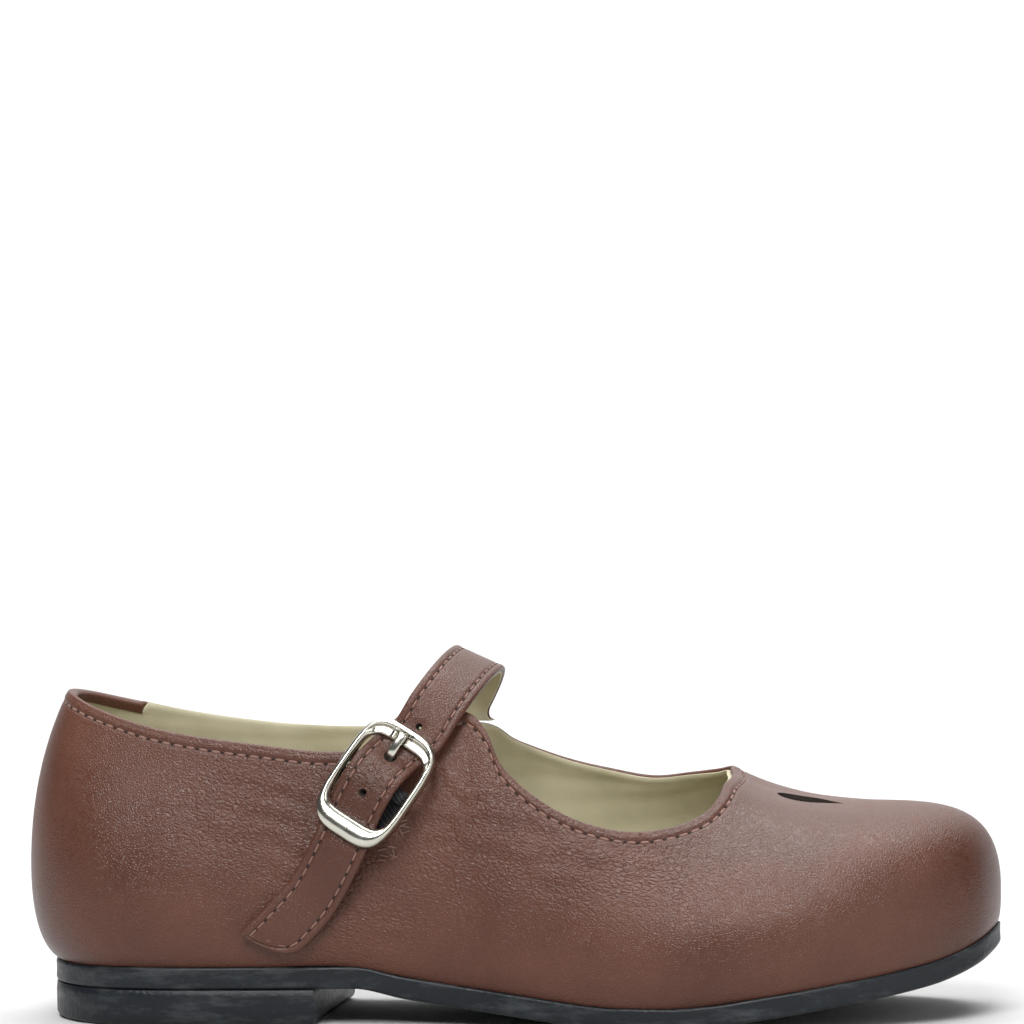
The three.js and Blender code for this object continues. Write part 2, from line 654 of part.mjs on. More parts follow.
// Prong: a loop round the middle bar and an arm through the strap that rests on the top bar.
// extra thickens it, for the passage that it needs through the strap.
function prongShape(extra) {
  const radius = loopRadius + extra;
  const loopPart = new THREE.Shape().absarc(barA, barLift, radius, 0, 2 * Math.PI);
  if (extra === 0) {
    loopPart.holes.push(new THREE.Path().absarc(barA, barLift, barDiameter / 2 + runningGap, 0, 2 * Math.PI));
  }
  const half = prongThickness / 2 + extra;
  const restN = frameTop - frameThickness * 0.3 + runningGap + prongThickness / 2;
  const tipA = buckleLength / 2 - topBar * 0.5;
  const kneeA = innerTop - topBar * 0.35;
  const round = prongThickness * 0.3;
  const startA = barA + barDiameter / 2 + runningGap + loopWall / 2;
  const arm = new THREE.Shape([
    new THREE.Vector2(startA, barLift - half),
    new THREE.Vector2(kneeA - topBar * 0.82, barLift - half + round / 3),
    new THREE.Vector2(kneeA + round, restN - half),
    new THREE.Vector2(tipA + extra, restN - half),
    new THREE.Vector2(tipA + extra, restN + half),
    new THREE.Vector2(kneeA - round, restN + half),
    new THREE.Vector2(kneeA - topBar, barLift + half + round / 3),
    new THREE.Vector2(startA, barLift + half),
  ]);
  const depth = prongWidth + 2 * extra;
  const parts = [loopPart, arm].map((shape) => {
    const geometry = new THREE.ExtrudeGeometry(shape, { depth, bevelEnabled: false, curveSegments: 18 });
    geometry.translate(0, 0, -depth / 2 - prongShift);
    return geometry.applyMatrix4(new THREE.Matrix4().makeBasis(
      new THREE.Vector3(0, 1, 0), new THREE.Vector3(0, 0, 1), new THREE.Vector3(1, 0, 0),
    ));
  });
  return toManifold(parts[0]).add(toManifold(parts[1]));
}

function buckleProng() {
  return toGeometry(prongShape(0)).applyMatrix4(buckleMatrix);
}

// Elastic tab that holds the buckle: a flat band on the quarter that wraps the middle bar beside the prong
function buckleTab() {
  const inside = barDiameter / 2 + runningGap;
  const outside = inside + tabThickness;
  const low = barLift - outside;
  const band = new THREE.Shape();
  band.moveTo(barA - tabLength, low);
  band.lineTo(barA, low);
  band.absarc(barA, barLift, outside, -Math.PI / 2, Math.PI * 0.9, false);
  band.lineTo(barA - outside, low + tabThickness);
  band.lineTo(barA - tabLength, low + tabThickness);
  band.closePath();
  band.holes.push(new THREE.Path().absarc(barA, barLift, inside, 0, 2 * Math.PI));
  const depth = buckleWidth - 2 * sideBar - 2 * seatGap;
  const body = new THREE.ExtrudeGeometry(band, { depth, bevelEnabled: false, curveSegments: 12 });
  body.translate(0, 0, -depth / 2);
  body.applyMatrix4(new THREE.Matrix4().makeBasis(
    new THREE.Vector3(0, 1, 0), new THREE.Vector3(0, 0, 1), new THREE.Vector3(1, 0, 0),
  ));
  const slot = new THREE.BoxGeometry(prongWidth + 2 * seatGap, 4 * loopRadius, 4 * loopRadius);
  slot.translate(-prongShift, barA + loopRadius * 0.9, barLift);
  return toGeometry(toManifold(body).subtract(toManifold(slot))).applyMatrix4(buckleMatrix);
}

// Strap with its punched holes and the passage for the prong
function strap() {
  let solid = toManifold(strapBody());
  solid = solid.subtract(toManifold(toGeometry(prongShape(seatGap)).applyMatrix4(buckleMatrix)));
  const passage = atBuckle(-prongShift, innerTop - topBar * 0.7, bandLift + prongThickness);
  const prongPlace = placeAlongStrap(passage);
  for (const steps of [1, -1, -2]) {
    const share = (prongPlace + steps * holePitch) / routeCurve.getLength();
    const { point, normal } = strapFrame(routeCurve.getUtoTmapping(share));
    const punch = new THREE.CylinderGeometry(holeDiameter / 2, holeDiameter / 2, 3 * strapThickness, 12);
    punch.applyQuaternion(new THREE.Quaternion().setFromUnitVectors(new THREE.Vector3(0, 1, 0), normal));
    punch.translate(point.x, point.y, point.z);
    solid = solid.subtract(toManifold(punch));
  }
  return toGeometry(solid);
}

// Length along the strap to the place nearest to a target
function placeAlongStrap(target) {
  const steps = 400;
  const points = routeCurve.getSpacedPoints(steps);
  const distances = points.map((point) => point.distanceTo(target));
  return (routeCurve.getLength() * distances.indexOf(Math.min(...distances))) / steps;
}

function upper() {
  return toGeometry(toManifold(upperShell()).subtract(toManifold(vampCut())));
}

const leather = new THREE.MeshStandardMaterial({ color: 0x7b4a3c, roughness: 0.5, metalness: 0 });
const rubber = new THREE.MeshStandardMaterial({ color: 0x24262a, roughness: 0.6, metalness: 0 });
const lining = new THREE.MeshStandardMaterial({ color: 0xb7ae8e, roughness: 0.8, metalness: 0 });
const nickel = new THREE.MeshStandardMaterial({ color: 0xc9c8c2, roughness: 0.2, metalness: 1 });
const elastic = new THREE.MeshStandardMaterial({ color: 0x101114, roughness: 0.9, metalness: 0 });

const pieces = [
  ['outsole', outsole(), rubber],
  ['heel', heelBlock(), rubber],
  ['upper', upper(), leather],
  ['insole', insole(), lining],
  ['strap', strap(), leather],
  ['buckle_frame', buckleFrame(), nickel],
  ['buckle_prong', buckleProng(), nickel],
  ['buckle_tab', buckleTab(), elastic],
];

const shoe = new THREE.Group();
for (const [name, geometry, material] of pieces) {
  const mesh = new THREE.Mesh(geometry, material);
  mesh.name = name;
  shoe.add(mesh);
}
shoe.position.x = -(soleStart + heelLength / 2);

export default shoe;
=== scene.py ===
import math

import bpy
import numpy as np
from mathutils import Matrix, Vector


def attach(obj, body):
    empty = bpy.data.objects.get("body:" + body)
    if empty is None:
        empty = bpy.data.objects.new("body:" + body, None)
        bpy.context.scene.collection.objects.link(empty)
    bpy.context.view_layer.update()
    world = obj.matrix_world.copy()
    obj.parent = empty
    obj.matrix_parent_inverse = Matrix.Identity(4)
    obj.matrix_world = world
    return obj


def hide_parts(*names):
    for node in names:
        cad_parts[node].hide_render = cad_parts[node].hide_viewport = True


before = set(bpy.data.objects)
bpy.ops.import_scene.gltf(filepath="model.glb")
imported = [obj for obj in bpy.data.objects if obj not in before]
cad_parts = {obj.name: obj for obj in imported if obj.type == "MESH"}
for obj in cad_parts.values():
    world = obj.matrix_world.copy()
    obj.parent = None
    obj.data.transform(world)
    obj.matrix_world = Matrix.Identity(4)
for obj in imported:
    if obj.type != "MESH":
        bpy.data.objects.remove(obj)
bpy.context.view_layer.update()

# Studio: the shoe stands on a plain pale sweep under large soft lamps. The camera is at the photograph's
# place, 0.8 m from the outer side and a little above the sole.
lens = bpy.data.cameras.new("camera")
lens.lens = 159.4
lens.sensor_width = 36
lens.shift_x = 0.0068
camera = bpy.data.objects.new("camera", lens)
bpy.context.scene.collection.objects.link(camera)
turn = (Matrix.Rotation(math.radians(8), 3, "Z") @ Matrix.Rotation(math.radians(90 - 0.706), 3, "X")
        @ Matrix.Rotation(math.radians(-1), 3, "Z"))
camera.matrix_world = Matrix.Translation((0.1676, -0.7892, 0.0977)) @ turn.to_4x4()
bpy.context.scene.camera = camera
bpy.context.scene.view_settings.view_transform = "Standard"


def put(made, numbered=None, **named):
    """Sets a node's settings, then its sockets by name or number. Another node's output is linked."""
    for key, value in {**named, **(numbered or {})}.items():
        socket = made.inputs[key] if isinstance(key, int) else made.inputs.get(key.replace("_", " "))
        if isinstance(value, bpy.types.NodeSocket):
            made.id_data.links.new(value, socket)
        elif socket is not None:
            socket.default_value = value
        else:
            setattr(made, key, value)
    return made


def finish(name, colour, rough, **values):
    """A new material, its node tree and its shader, with the shader's own colour and roughness set."""
    material = bpy.data.materials.new(name)
    material.use_nodes = True
    tree = material.node_tree
    shader = put(tree.nodes["Principled BSDF"], Base_Color=(*colour, 1), Roughness=rough, **values)
    return material, tree, shader


bpy.ops.object.select_all(action="DESELECT")
bpy.ops.mesh.primitive_plane_add(size=6, location=(0, -0.6, 0))
sweep = bpy.context.object
sweep.name = "sweep"
bpy.ops.object.mode_set(mode="EDIT")
bpy.ops.mesh.select_all(action="DESELECT")
bpy.ops.object.mode_set(mode="OBJECT")
for edge in sweep.data.edges:
    edge.select = all(sweep.data.vertices[v].co.y > 0 for v in edge.vertices)
bpy.ops.object.mode_set(mode="EDIT")
bpy.ops.mesh.select_mode(type="EDGE")
bpy.ops.mesh.extrude_region_move(TRANSFORM_OT_translate={"value": (0, 0, 3)})
bpy.ops.object.mode_set(mode="OBJECT")
for edge in sweep.data.edges:
    ends = [sweep.data.vertices[v].co for v in edge.vertices]
    edge.select = all(p.y > 0 and abs(p.z) < 1e-6 for p in ends)
bpy.ops.object.mode_set(mode="EDIT")
bpy.ops.mesh.bevel(offset=0.9, segments=16)
bpy.ops.object.mode_set(mode="OBJECT")
bpy.ops.object.shade_smooth()
paper, tree, shader = finish("studio_paper", (0.57, 0.57, 0.57), 0.9, Specular_IOR_Level=0.1)
sweep.data.materials.append(paper)

for name, place, aim, size, power in (
    ("key_lamp", (-0.05, -0.93, 0.99), (0.06, 0, 0.02), 0.7, 18),
    ("fill_lamp", (1.3, -0.9, 0.6), (0.06, 0, 0.03), 0.9, 5),
    ("top_lamp", (0.06, 0.15, 1.15), (0.06, 0, 0.02), 1.7, 4.5),
    ("wall_lamp", (0, 0.9, 2.4), (0, 2.4, 0.75), 2.4, 116),
):
    light = bpy.data.lights.new(name, "AREA")
    light.size = size
    light.energy = power
    lamp = bpy.data.objects.new(name, light)
    bpy.context.scene.collection.objects.link(lamp)
    lamp.location = place
    lamp.rotation_euler = (Vector(aim) - Vector(place)).to_track_quat("-Z", "Y").to_euler()
world = bpy.data.worlds.new("studio_air")
bpy.context.scene.world = world
world.use_nodes = True
put(world.node_tree.nodes["Background"], Color=(0.95, 0.97, 1, 1), Strength=0.1)

# Upper: two quarters and a vamp of soft brown leather, lasted over the heel and the toe and cemented to the
# sole. The top edge is folded over the lining and stitched 1.75 mm below it round the collar and throat.
shoe_length = 171.4
heel_overhang = 4.3
ball_width = 57
heel_height = 6.4
heel_length = 50
sole_thickness = 3.9
toe_spring = 11.8
quarter_height = 47.1
wall = 1.8
feather_inset = 0.5
sole_length = shoe_length - heel_overhang
seat_height = heel_height + sole_thickness
origin_x = heel_overhang + heel_length / 2

# Sections of the last from the heel to the toe: share of the sole's length, half widths out and in, heel
# overhang, belly height, then the rim's place along the shoe, its half widths and heights out and in, its
# lean out and in, and how square the shoulder is (rise and run).
last_sections = np.array([
    [0, 0, 0, 1, 0.33, 0.041, 0, 0, 1, 1, 27, 27, 0.36, 0.33],
    [0.018, 0.193, 0.193, 0.88, 0.32, 0.054, 0.128, 0.128, 0.982, 0.984, 26, 26, 0.36, 0.33],
    [0.065, 0.334, 0.334, 0.64, 0.29, 0.09, 0.219, 0.219, 0.93, 0.945, 22, 22, 0.36, 0.33],
    [0.137, 0.386, 0.386, 0.5, 0.26, 0.154, 0.289, 0.289, 0.862, 0.887, 16, 16, 0.36, 0.33],
    [0.244, 0.386, 0.361, 0.42, 0.25, 0.256, 0.33, 0.326, 0.805, 0.832, 12, 12, 0.36, 0.33],
    [0.333, 0.375, 0.326, 0.4, 0.25, 0.349, 0.34, 0.328, 0.777, 0.82, 12, 12, 0.36, 0.33],
    [0.405, 0.375, 0.319, 0.38, 0.25, 0.416, 0.322, 0.316, 0.832, 0.839, 16, 14, 0.36, 0.33],
    [0.452, 0.389, 0.326, 0.36, 0.24, 0.47, 0.284, 0.312, 0.915, 0.825, 22, 20, 0.36, 0.33],
    [0.476, 0.4, 0.339, 0.34, 0.23, 0.492, 0.309, 0.326, 0.85, 0.772, 22, 24, 0.36, 0.33],
    [0.5, 0.418, 0.358, 0.33, 0.22, 0.51, 0.345, 0.335, 0.72, 0.744, 20, 26, 0.34, 0.33],
    [0.548, 0.447, 0.395, 0.3, 0.21, 0.551, 0.376, 0.347, 0.593, 0.692, 22, 32, 0.31, 0.33],
    [0.607, 0.486, 0.435, 0.28, 0.2, 0.593, 0.386, 0.351, 0.518, 0.656, 27, 38, 0.28, 0.34],
    [0.679, 0.514, 0.47, 0.28, 0.2, 0.64, 0.374, 0.344, 0.482, 0.628, 33, 45, 0.27, 0.35],
    [0.756, 0.516, 0.477, 0.25, 0.2, 0.683, 0.328, 0.307, 0.497, 0.645, 41, 52, 0.29, 0.37],
    [0.833, 0.479, 0.456, 0.2, 0.2, 0.712, 0.265, 0.268, 0.541, 0.661, 51, 60, 0.36, 0.39],
    [0.899, 0.401, 0.408, 0.15, 0.19, 0.726, 0.19, 0.218, 0.601, 0.674, 56, 60, 0.44, 0.41],
    [0.952, 0.291, 0.326, 0.1, 0.17, 0.729, 0.112, 0.15, 0.635, 0.667, 59, 60, 0.476, 0.42],
    [0.985, 0.172, 0.214, 0.07, 0.15, 0.732, 0.03, 0.095, 0.647, 0.657, 60, 60, 0.481, 0.43],
    [1, -0.023, 0.023, 0.05, 0.14, 0.733, -0.035, 0.035, 0.653, 0.653, 60, 60, 0.481, 0.43],
])
# The sole's underside: share of its length, then share of the heel's height or of the toe spring
arch_line = np.array([[0, 1], [0.339, 1], [0.393, 0.72], [0.44, 0.53], [0.494, 0.34], [0.536, 0.2],
                      [0.575, 0.07], [0.607, 0]])
toe_line = np.array([[0.679, 0], [0.72, 0.06], [0.76, 0.15], [0.8, 0.235], [0.84, 0.33], [0.892, 0.45],
                     [0.938, 0.58], [0.96, 0.68], [0.982, 0.82], [1, 1]])


def smooth(line, x):
    """Height of a line at x, by a smooth curve that never overshoots its points."""
    xs, zs = line.T
    secant = np.diff(zs) / np.diff(xs)
    before, after = secant[:-1], secant[1:]
    total = np.where(before * after <= 0, 1, before + after)
    inner = np.where(before * after <= 0, 0, 2 * before * after / total)
    slope = np.concatenate([secant[:1], inner, secant[-1:]])
    x = np.clip(x, xs[0], xs[-1])
    i = np.clip(np.searchsorted(xs, x, side="right") - 1, 0, len(xs) - 2)
    span = xs[i + 1] - xs[i]
    t = (x - xs[i]) / span
    bend = (2 * t - 3) * t * t
    lift = (t - 1) * t * ((t - 1) * slope[i] + t * slope[i + 1]) * span
    return zs[i] * (1 + bend) - zs[i + 1] * bend + lift


def sole_under(x):
    share = (x - heel_overhang) / sole_length
    return np.where(share < toe_line[0, 0], heel_height * smooth(arch_line, share),
                    toe_spring * smooth(toe_line, share))


def curve(points, place, closed):
    """Centripetal curve through points, at place counted in points from the first."""
    points = np.asarray(points, float)
    count = len(points)
    if not closed:
        points = np.concatenate([[2 * points[0] - points[1]], points, [2 * points[-1] - points[-2]]])
    k = np.floor(place).astype(int)
    k = k % count if closed else np.clip(k, 0, count - 2)
    t = (place % count - k if closed else place - k)[:, None]
    p0, p1, p2, p3 = (points[(k + i) % count] if closed else points[k + i + 1] for i in (-1, 0, 1, 2))
    d0, d1, d2 = (np.maximum(np.linalg.norm(b - a, axis=1, keepdims=True), 1e-6) ** 0.5
                  for a, b in ((p0, p1), (p1, p2), (p2, p3)))
    m1 = ((p1 - p0) / d0 - (p2 - p0) / (d0 + d1) + (p2 - p1) / d1) * d1
    m2 = ((p2 - p1) / d1 - (p3 - p1) / (d1 + d2) + (p3 - p2) / d2) * d1
    return (p1 + m1 * t + (3 * (p2 - p1) - 2 * m1 - m2) * t ** 2 + (2 * (p1 - p2) + m1 + m2) * t ** 3)


def unit(vectors):
    return vectors / np.linalg.norm(vectors, axis=-1, keepdims=True)


outer_rows = np.arange(len(last_sections))
inner_rows = outer_rows[-2:0:-1]
row_of = np.concatenate([outer_rows, inner_rows])
side_of = np.concatenate([-np.ones(len(outer_rows)), np.ones(len(inner_rows))])
ring = last_sections[row_of]
ring_count = len(ring)
sole_ring = np.stack([heel_overhang + ring[:, 0] * sole_length,
                      side_of * ball_width * np.where(side_of < 0, ring[:, 1], ring[:, 2]),
                      np.zeros(ring_count)], axis=1)


def sole_edge(place, inset):
    """The sole's outline in plan, drawn in by inset, and the way out from it."""
    place = np.asarray(place, float)
    along = curve(sole_ring, place + 0.004, True) - curve(sole_ring, place - 0.004, True)
    out = unit(np.stack([along[:, 1], -along[:, 0], 0 * along[:, 0]], axis=1))
    return curve(sole_ring, place, True) - out * np.asarray(inset)[..., None], out


feather, outward = sole_edge(np.arange(ring_count), feather_inset)
feather[:, 2] = sole_under(feather[:, 0]) + sole_thickness
belly = feather + outward * (feather_inset + ring[:, 3] * heel_overhang)[:, None]
belly[:, 2] = feather[:, 2] + ring[:, 4] * quarter_height
swell = (belly[:, 2] - feather[:, 2] - 0.3)[:, None]
rim = np.stack([ring[:, 5] * shoe_length,
                side_of * ball_width * np.where(side_of < 0, ring[:, 6], ring[:, 7]),
                seat_height + quarter_height * np.where(side_of < 0, ring[:, 8], ring[:, 9])], axis=1)
lean = np.radians(np.where(side_of < 0, ring[:, 10], ring[:, 11]))[:, None]
flat = np.array([1, 1, 0])
upright = np.array([0, 0, 1])
inward = unit((rim - belly) * flat)
reach = np.linalg.norm(rim - belly, axis=1, keepdims=True)
slope = upright * np.cos(lean) + inward * np.sin(lean)
out_run = np.linalg.norm((belly - feather) * flat, axis=1, keepdims=True)
guides = np.stack([feather, feather + outward * 0.7 * out_run + upright * 0.12 * swell,
                   belly - upright * 0.5 * swell, belly, belly + upright * ring[:, 12:13] * reach,
                   rim - slope * ring[:, 13:14] * reach, rim], axis=1)

round_count = 600
round_place = np.arange(round_count) * ring_count / round_count
rising = np.concatenate([np.linspace(0, 1, 17)[:-1], 2 - (1 - np.linspace(0, 1, 72)) ** 1.45])
guide_curves = np.stack([curve(guides[:, i], round_place, True) for i in range(7)])
lower = (rising <= 1)[:, None, None]
t = np.where(rising <= 1, rising, rising - 1)[:, None, None]
g = [np.where(lower, guide_curves[i], guide_curves[i + 3]) for i in range(4)]
skin = g[0] * (1 - t) ** 3 + 3 * g[1] * (1 - t) ** 2 * t + 3 * g[2] * (1 - t) * t ** 2 + g[3] * t ** 3
along_skin = np.roll(skin, -1, axis=1) - np.roll(skin, 1, axis=1)
skin_out = unit(np.cross(along_skin, np.gradient(skin, axis=0)))
steps_up = np.linalg.norm(np.diff(skin, axis=0), axis=2)
below_rim = np.concatenate([np.cumsum(steps_up[::-1], axis=0)[::-1], np.zeros((1, round_count))])


def under_rim(distance):
    """Points of the outer face and the way out from it, at a distance below the rim, once round the shoe."""
    distance = np.broadcast_to(distance, (round_count,))
    row = np.sum(below_rim > distance[None, :], axis=0) - 1
    row = np.clip(row, 0, len(rising) - 2)
    c = np.arange(round_count)
    part = ((below_rim[row, c] - distance) / (below_rim[row, c] - below_rim[row + 1, c]))[:, None]
    return (skin[row, c] * (1 - part) + skin[row + 1, c] * part,
            unit(skin_out[row, c] * (1 - part) + skin_out[row + 1, c] * part))


# Creases of the outer side, pressed in: start x, z, end x, z, depth and half width in millimetres
creases = np.array([
    [41, 41.5, 47, 38, 0.22, 1.0], [43, 36.5, 52, 33, 0.26, 1.1], [44, 33, 55, 29.5, 0.24, 1.2],
    [47, 40, 56, 37.5, 0.2, 1.0], [50, 36, 62, 33.5, 0.22, 1.2], [52, 30, 66, 27.5, 0.2, 1.3],
    [58, 35.5, 70, 31.5, 0.18, 1.2], [63, 30, 78, 27, 0.18, 1.4], [70, 27.5, 86, 25.5, 0.16, 1.5],
    [60, 25.5, 74, 23.5, 0.14, 1.3], [76, 31, 90, 29.5, 0.15, 1.3], [33, 23, 41, 26, 0.2, 1.2],
    [35, 18, 44, 20.5, 0.18, 1.2], [34, 14.5, 42, 15.5, 0.16, 1.1], [12, 38, 24, 33.5, 0.22, 1.2],
    [8, 42, 22, 39.5, 0.16, 1.3], [14, 33, 26, 28.5, 0.2, 1.2], [18, 41, 27, 37, 0.16, 1.0],
    [4, 35, 16, 30, 0.14, 1.4], [16, 27.5, 25, 24.5, 0.16, 1.1], [46, 44, 50, 40, 0.18, 1.0],
])
shown = skin[..., 1] < 0
x_now, z_now = skin[..., 0] - origin_x, skin[..., 2]
press = np.zeros(x_now.shape)
for x0, z0, x1, z1, depth, half in creases:
    run = math.hypot(x1 - x0, z1 - z0)
    ux, uz = (x1 - x0) / run, (z1 - z0) / run
    s = ((x_now - x0) * ux + (z_now - z0) * uz) / run
    d = (z_now - z0) * ux - (x_now - x0) * uz + 0.5 * np.sin(s * 9 + x0)
    fade = np.clip(s * 4, 0, 1) * np.clip((1 - s) * 4, 0, 1)
    fade = fade * fade * (3 - 2 * fade)
    press -= 0.75 * depth * fade * (np.exp(-(d / half) ** 2) - 0.6 * np.exp(-((d - 1.7 * half) / half) ** 2))
press = np.where(shown, press, 0)
seam_line = 1.75
press += (0.1 * np.exp(-((below_rim - 0.85) / 0.5) ** 2)
          - 0.24 * np.exp(-((below_rim - seam_line) / 0.33) ** 2))
dressed = skin + skin_out * press[..., None]

rim_out, rim_way = under_rim(0)
rim_up = unit(skin[-1] - skin[-2])
back_fold = ((rim_out[:, 1] > -6) & (rim_out[:, 0] - origin_x < -12.3)).astype(float)
# The folded edge is 0.98 mm thick, and as thick as the wall and its lining where it covers that at the back
over = (0.98 + (wall - 0.84) * back_fold)[:, None]
fold_depth = 0.3 + 1.2 * back_fold
crown = [rim_out + rim_way * over / 2 * (math.cos(a) - 1) + rim_up * 0.5 * math.sin(a)
         for a in np.linspace(0, math.pi, 9)[1:-1]]
fold = []
for share in (0, 0.35, 0.7, 0.95):
    point, way = under_rim(fold_depth * share)
    fold.append(point - way * over)
point, way = under_rim(fold_depth)
fold.append(point - way * (over - 0.1))
hidden = [skin[r] - skin_out[r] * 0.85 for r in range(len(rising) - 8, -1, -5)]
leather_rows = [*dressed, *crown, *fold, *hidden]


def in_scene(places):
    """Places in the source's millimetres as metres from the shoe's origin."""
    return (places - [origin_x, 0, 0]) / 1000


def lay_grid(name, rows, band=False):
    """A skin over rows of places, closed from the last row to the first. Each row runs round the shoe, or
    along a band, whose two ends are drawn together."""
    rows = np.stack(rows)
    count, columns = rows.shape[:2]
    if band:
        for end in (0, -1):
            rows[:, end] = rows[:, end].mean(axis=0)
    spans = columns - 1 if band else columns
    bpy.ops.object.select_all(action="DESELECT")
    bpy.ops.mesh.primitive_grid_add(x_subdivisions=spans, y_subdivisions=count, size=1)
    piece = bpy.context.object
    piece.name = piece.data.name = name
    flat_places = np.empty(len(piece.data.vertices) * 3)
    piece.data.vertices.foreach_get("co", flat_places)
    u, v = (flat_places.reshape(-1, 3)[:, :2] + 0.5).T
    column = np.rint(u * spans).astype(int) % columns
    row = np.rint(v * count).astype(int) % count
    piece.data.vertices.foreach_set("co", in_scene(rows[row, column]).ravel())
    bpy.ops.object.mode_set(mode="EDIT")
    bpy.ops.mesh.select_all(action="SELECT")
    bpy.ops.mesh.remove_doubles(threshold=2e-6)
    bpy.ops.mesh.normals_make_consistent(inside=False)
    bpy.ops.object.mode_set(mode="OBJECT")
    bpy.ops.object.shade_smooth()
    return piece


upper = lay_grid("upper_leather", leather_rows)

# The lining is cemented inside the quarters and the vamp. It comes up beside the folded edge, and round the
# back it ends under the fold.
lining_top = 1.15 * back_fold
lining_rows = []
proud = (1 - back_fold[:, None]) * np.where(rim_out[:, 1:2] > 0, 4.2, 1)
for down, lift, up in ((0.35, 1.02, 0), (0, 1.06, 0.1), (0, 1.2, 0.17), (0, 1.42, 0.2), (0, 1.64, 0.15),
                       (0, wall, 0.03), (0.35, wall + 0.02, 0)):
    point, way = under_rim(lining_top + down)
    lining_rows.append(point - way * lift + rim_up * up * proud)
top_row = len(rising) - 9
for r in range(top_row, -1, -3):
    soft = 0.12 * np.sin(round_place * 2.1 + r * 0.31) * np.sin(r * 0.17 + round_place * 0.7)
    lining_rows.append(skin[r] - skin_out[r] * (wall + soft[:, None]))
for r in range(0, top_row, 6):
    lining_rows.append(skin[r] - skin_out[r] * 1.02)
lining = lay_grid("upper_lining", np.stack(lining_rows)[:, ::2])

# The drop is punched through the vamp in front of the throat, with its point towards the toe. Its cut walls
# are painted near-black, as painted shade for the shadowed inside of the hole.
cut_length = 12.4
cut_half = 3.3
cut_setback = 7.6
cut_shift = 0.4
cut_turn = math.radians(20)
way_down = np.linspace(0, 1, 13)[:, None]


def bow(a, b, c, d):
    return ((1 - way_down) ** 3 * np.array(a) + 3 * (1 - way_down) ** 2 * way_down * np.array(b)
            + 3 * (1 - way_down) * way_down ** 2 * np.array(c) + way_down ** 3 * np.array(d))


half_drop = np.concatenate([bow((0, 0), (0, -1), (0.35, -1.25), (0.6, -0.75)),
                            bow((0.6, -0.75), (0.733, -0.45), (0.867, -0.2), (1, 0))[1:]])
half_drop = half_drop * [cut_length, cut_half]
drop = np.concatenate([half_drop[:-1], (half_drop * [1, -1])[:0:-1]])
bpy.ops.object.select_all(action="DESELECT")
bpy.ops.mesh.primitive_circle_add(vertices=len(drop), fill_type="NGON")
punch = bpy.context.object
cut_start = last_sections[-1, 5] * shoe_length + cut_setback
cut_middle = last_sections[-1, 7] * ball_width - cut_shift
for vertex, (x, y) in zip(punch.data.vertices, drop):
    vertex.co = ((cut_start + x * math.cos(cut_turn) + y * math.sin(cut_turn) - origin_x) / 1000,
                 (cut_middle - x * math.sin(cut_turn) + y * math.cos(cut_turn)) / 1000, 0.026)
bpy.ops.object.mode_set(mode="EDIT")
bpy.ops.mesh.select_all(action="SELECT")
bpy.ops.mesh.extrude_region_move(TRANSFORM_OT_translate={"value": (0, 0, 0.03)})
bpy.ops.mesh.select_all(action="SELECT")
bpy.ops.mesh.normals_make_consistent(inside=False)
bpy.ops.object.mode_set(mode="OBJECT")


def add(tree, kind, numbered=None, **named):
    """A new shader node, set up as put does."""
    return put(tree.nodes.new("ShaderNode" + kind), numbered, **named)


def speckle(tree, where, **named):
    """The value of a noise over the piece's own places."""
    return add(tree, "TexNoise", Vector=where, **named).outputs["Fac"]


def ramp(tree, value, *stops):
    """The colour that a value gives between two stops, each a place and a colour."""
    made = add(tree, "ValToRGB", Fac=value)
    for element, (place, colour) in zip(made.color_ramp.elements, stops):
        element.position = place
        element.color = (*colour, 1)
    return made.outputs["Color"]


def ranged(tree, value, **named):
    return add(tree, "MapRange", Value=value, **named).outputs["Result"]


def bump(tree, height, strength, distance, **named):
    return add(tree, "Bump", Height=height, Strength=strength, Distance=distance, **named).outputs["Normal"]


# Painted shade: the near-black walls of the cut-out and of the strap holes stand for the shadow inside them.
cut_wall_painted_shade, tree, shader = finish("painted_shade_cut_edge", (0.02, 0.014, 0.011), 0.8)
shade_mottle = speckle(tree, add(tree, "TexCoord").outputs["Object"], Scale=2600)
put(shader, Base_Color=ramp(tree, shade_mottle, (0, (0.01, 0.008, 0.007)), (1, (0.04, 0.027, 0.02))))
punch.data.materials.append(cut_wall_painted_shade)


def pick(piece):
    bpy.ops.object.select_all(action="DESELECT")
    piece.select_set(True)
    bpy.context.view_layer.objects.active = piece


def cut_with(piece, tool):
    """The tool's shape is taken out of the piece."""
    pick(piece)
    cut = piece.modifiers.new("cut", "BOOLEAN")
    cut.operation = "DIFFERENCE"
    cut.solver = "EXACT"
    cut.material_mode = "TRANSFER"
    cut.object = tool
    bpy.ops.object.modifier_apply(modifier="cut")


def worn_where(piece, spots):
    """Marks how much the leather flexes. A spot is its x, z, half width and half height in millimetres."""
    mark = piece.data.attributes.new("flex", "FLOAT", "POINT")
    places = np.empty(len(piece.data.vertices) * 3)
    piece.data.vertices.foreach_get("co", places)
    x, y, z = places.reshape(-1, 3).T * 1000
    amount = 0 * x
    for spot_x, spot_z, wide, high in spots:
        amount = np.maximum(amount, np.exp(-((x - spot_x) / wide) ** 2 - ((z - spot_z) / high) ** 2))
    mark.data.foreach_set("value", amount)


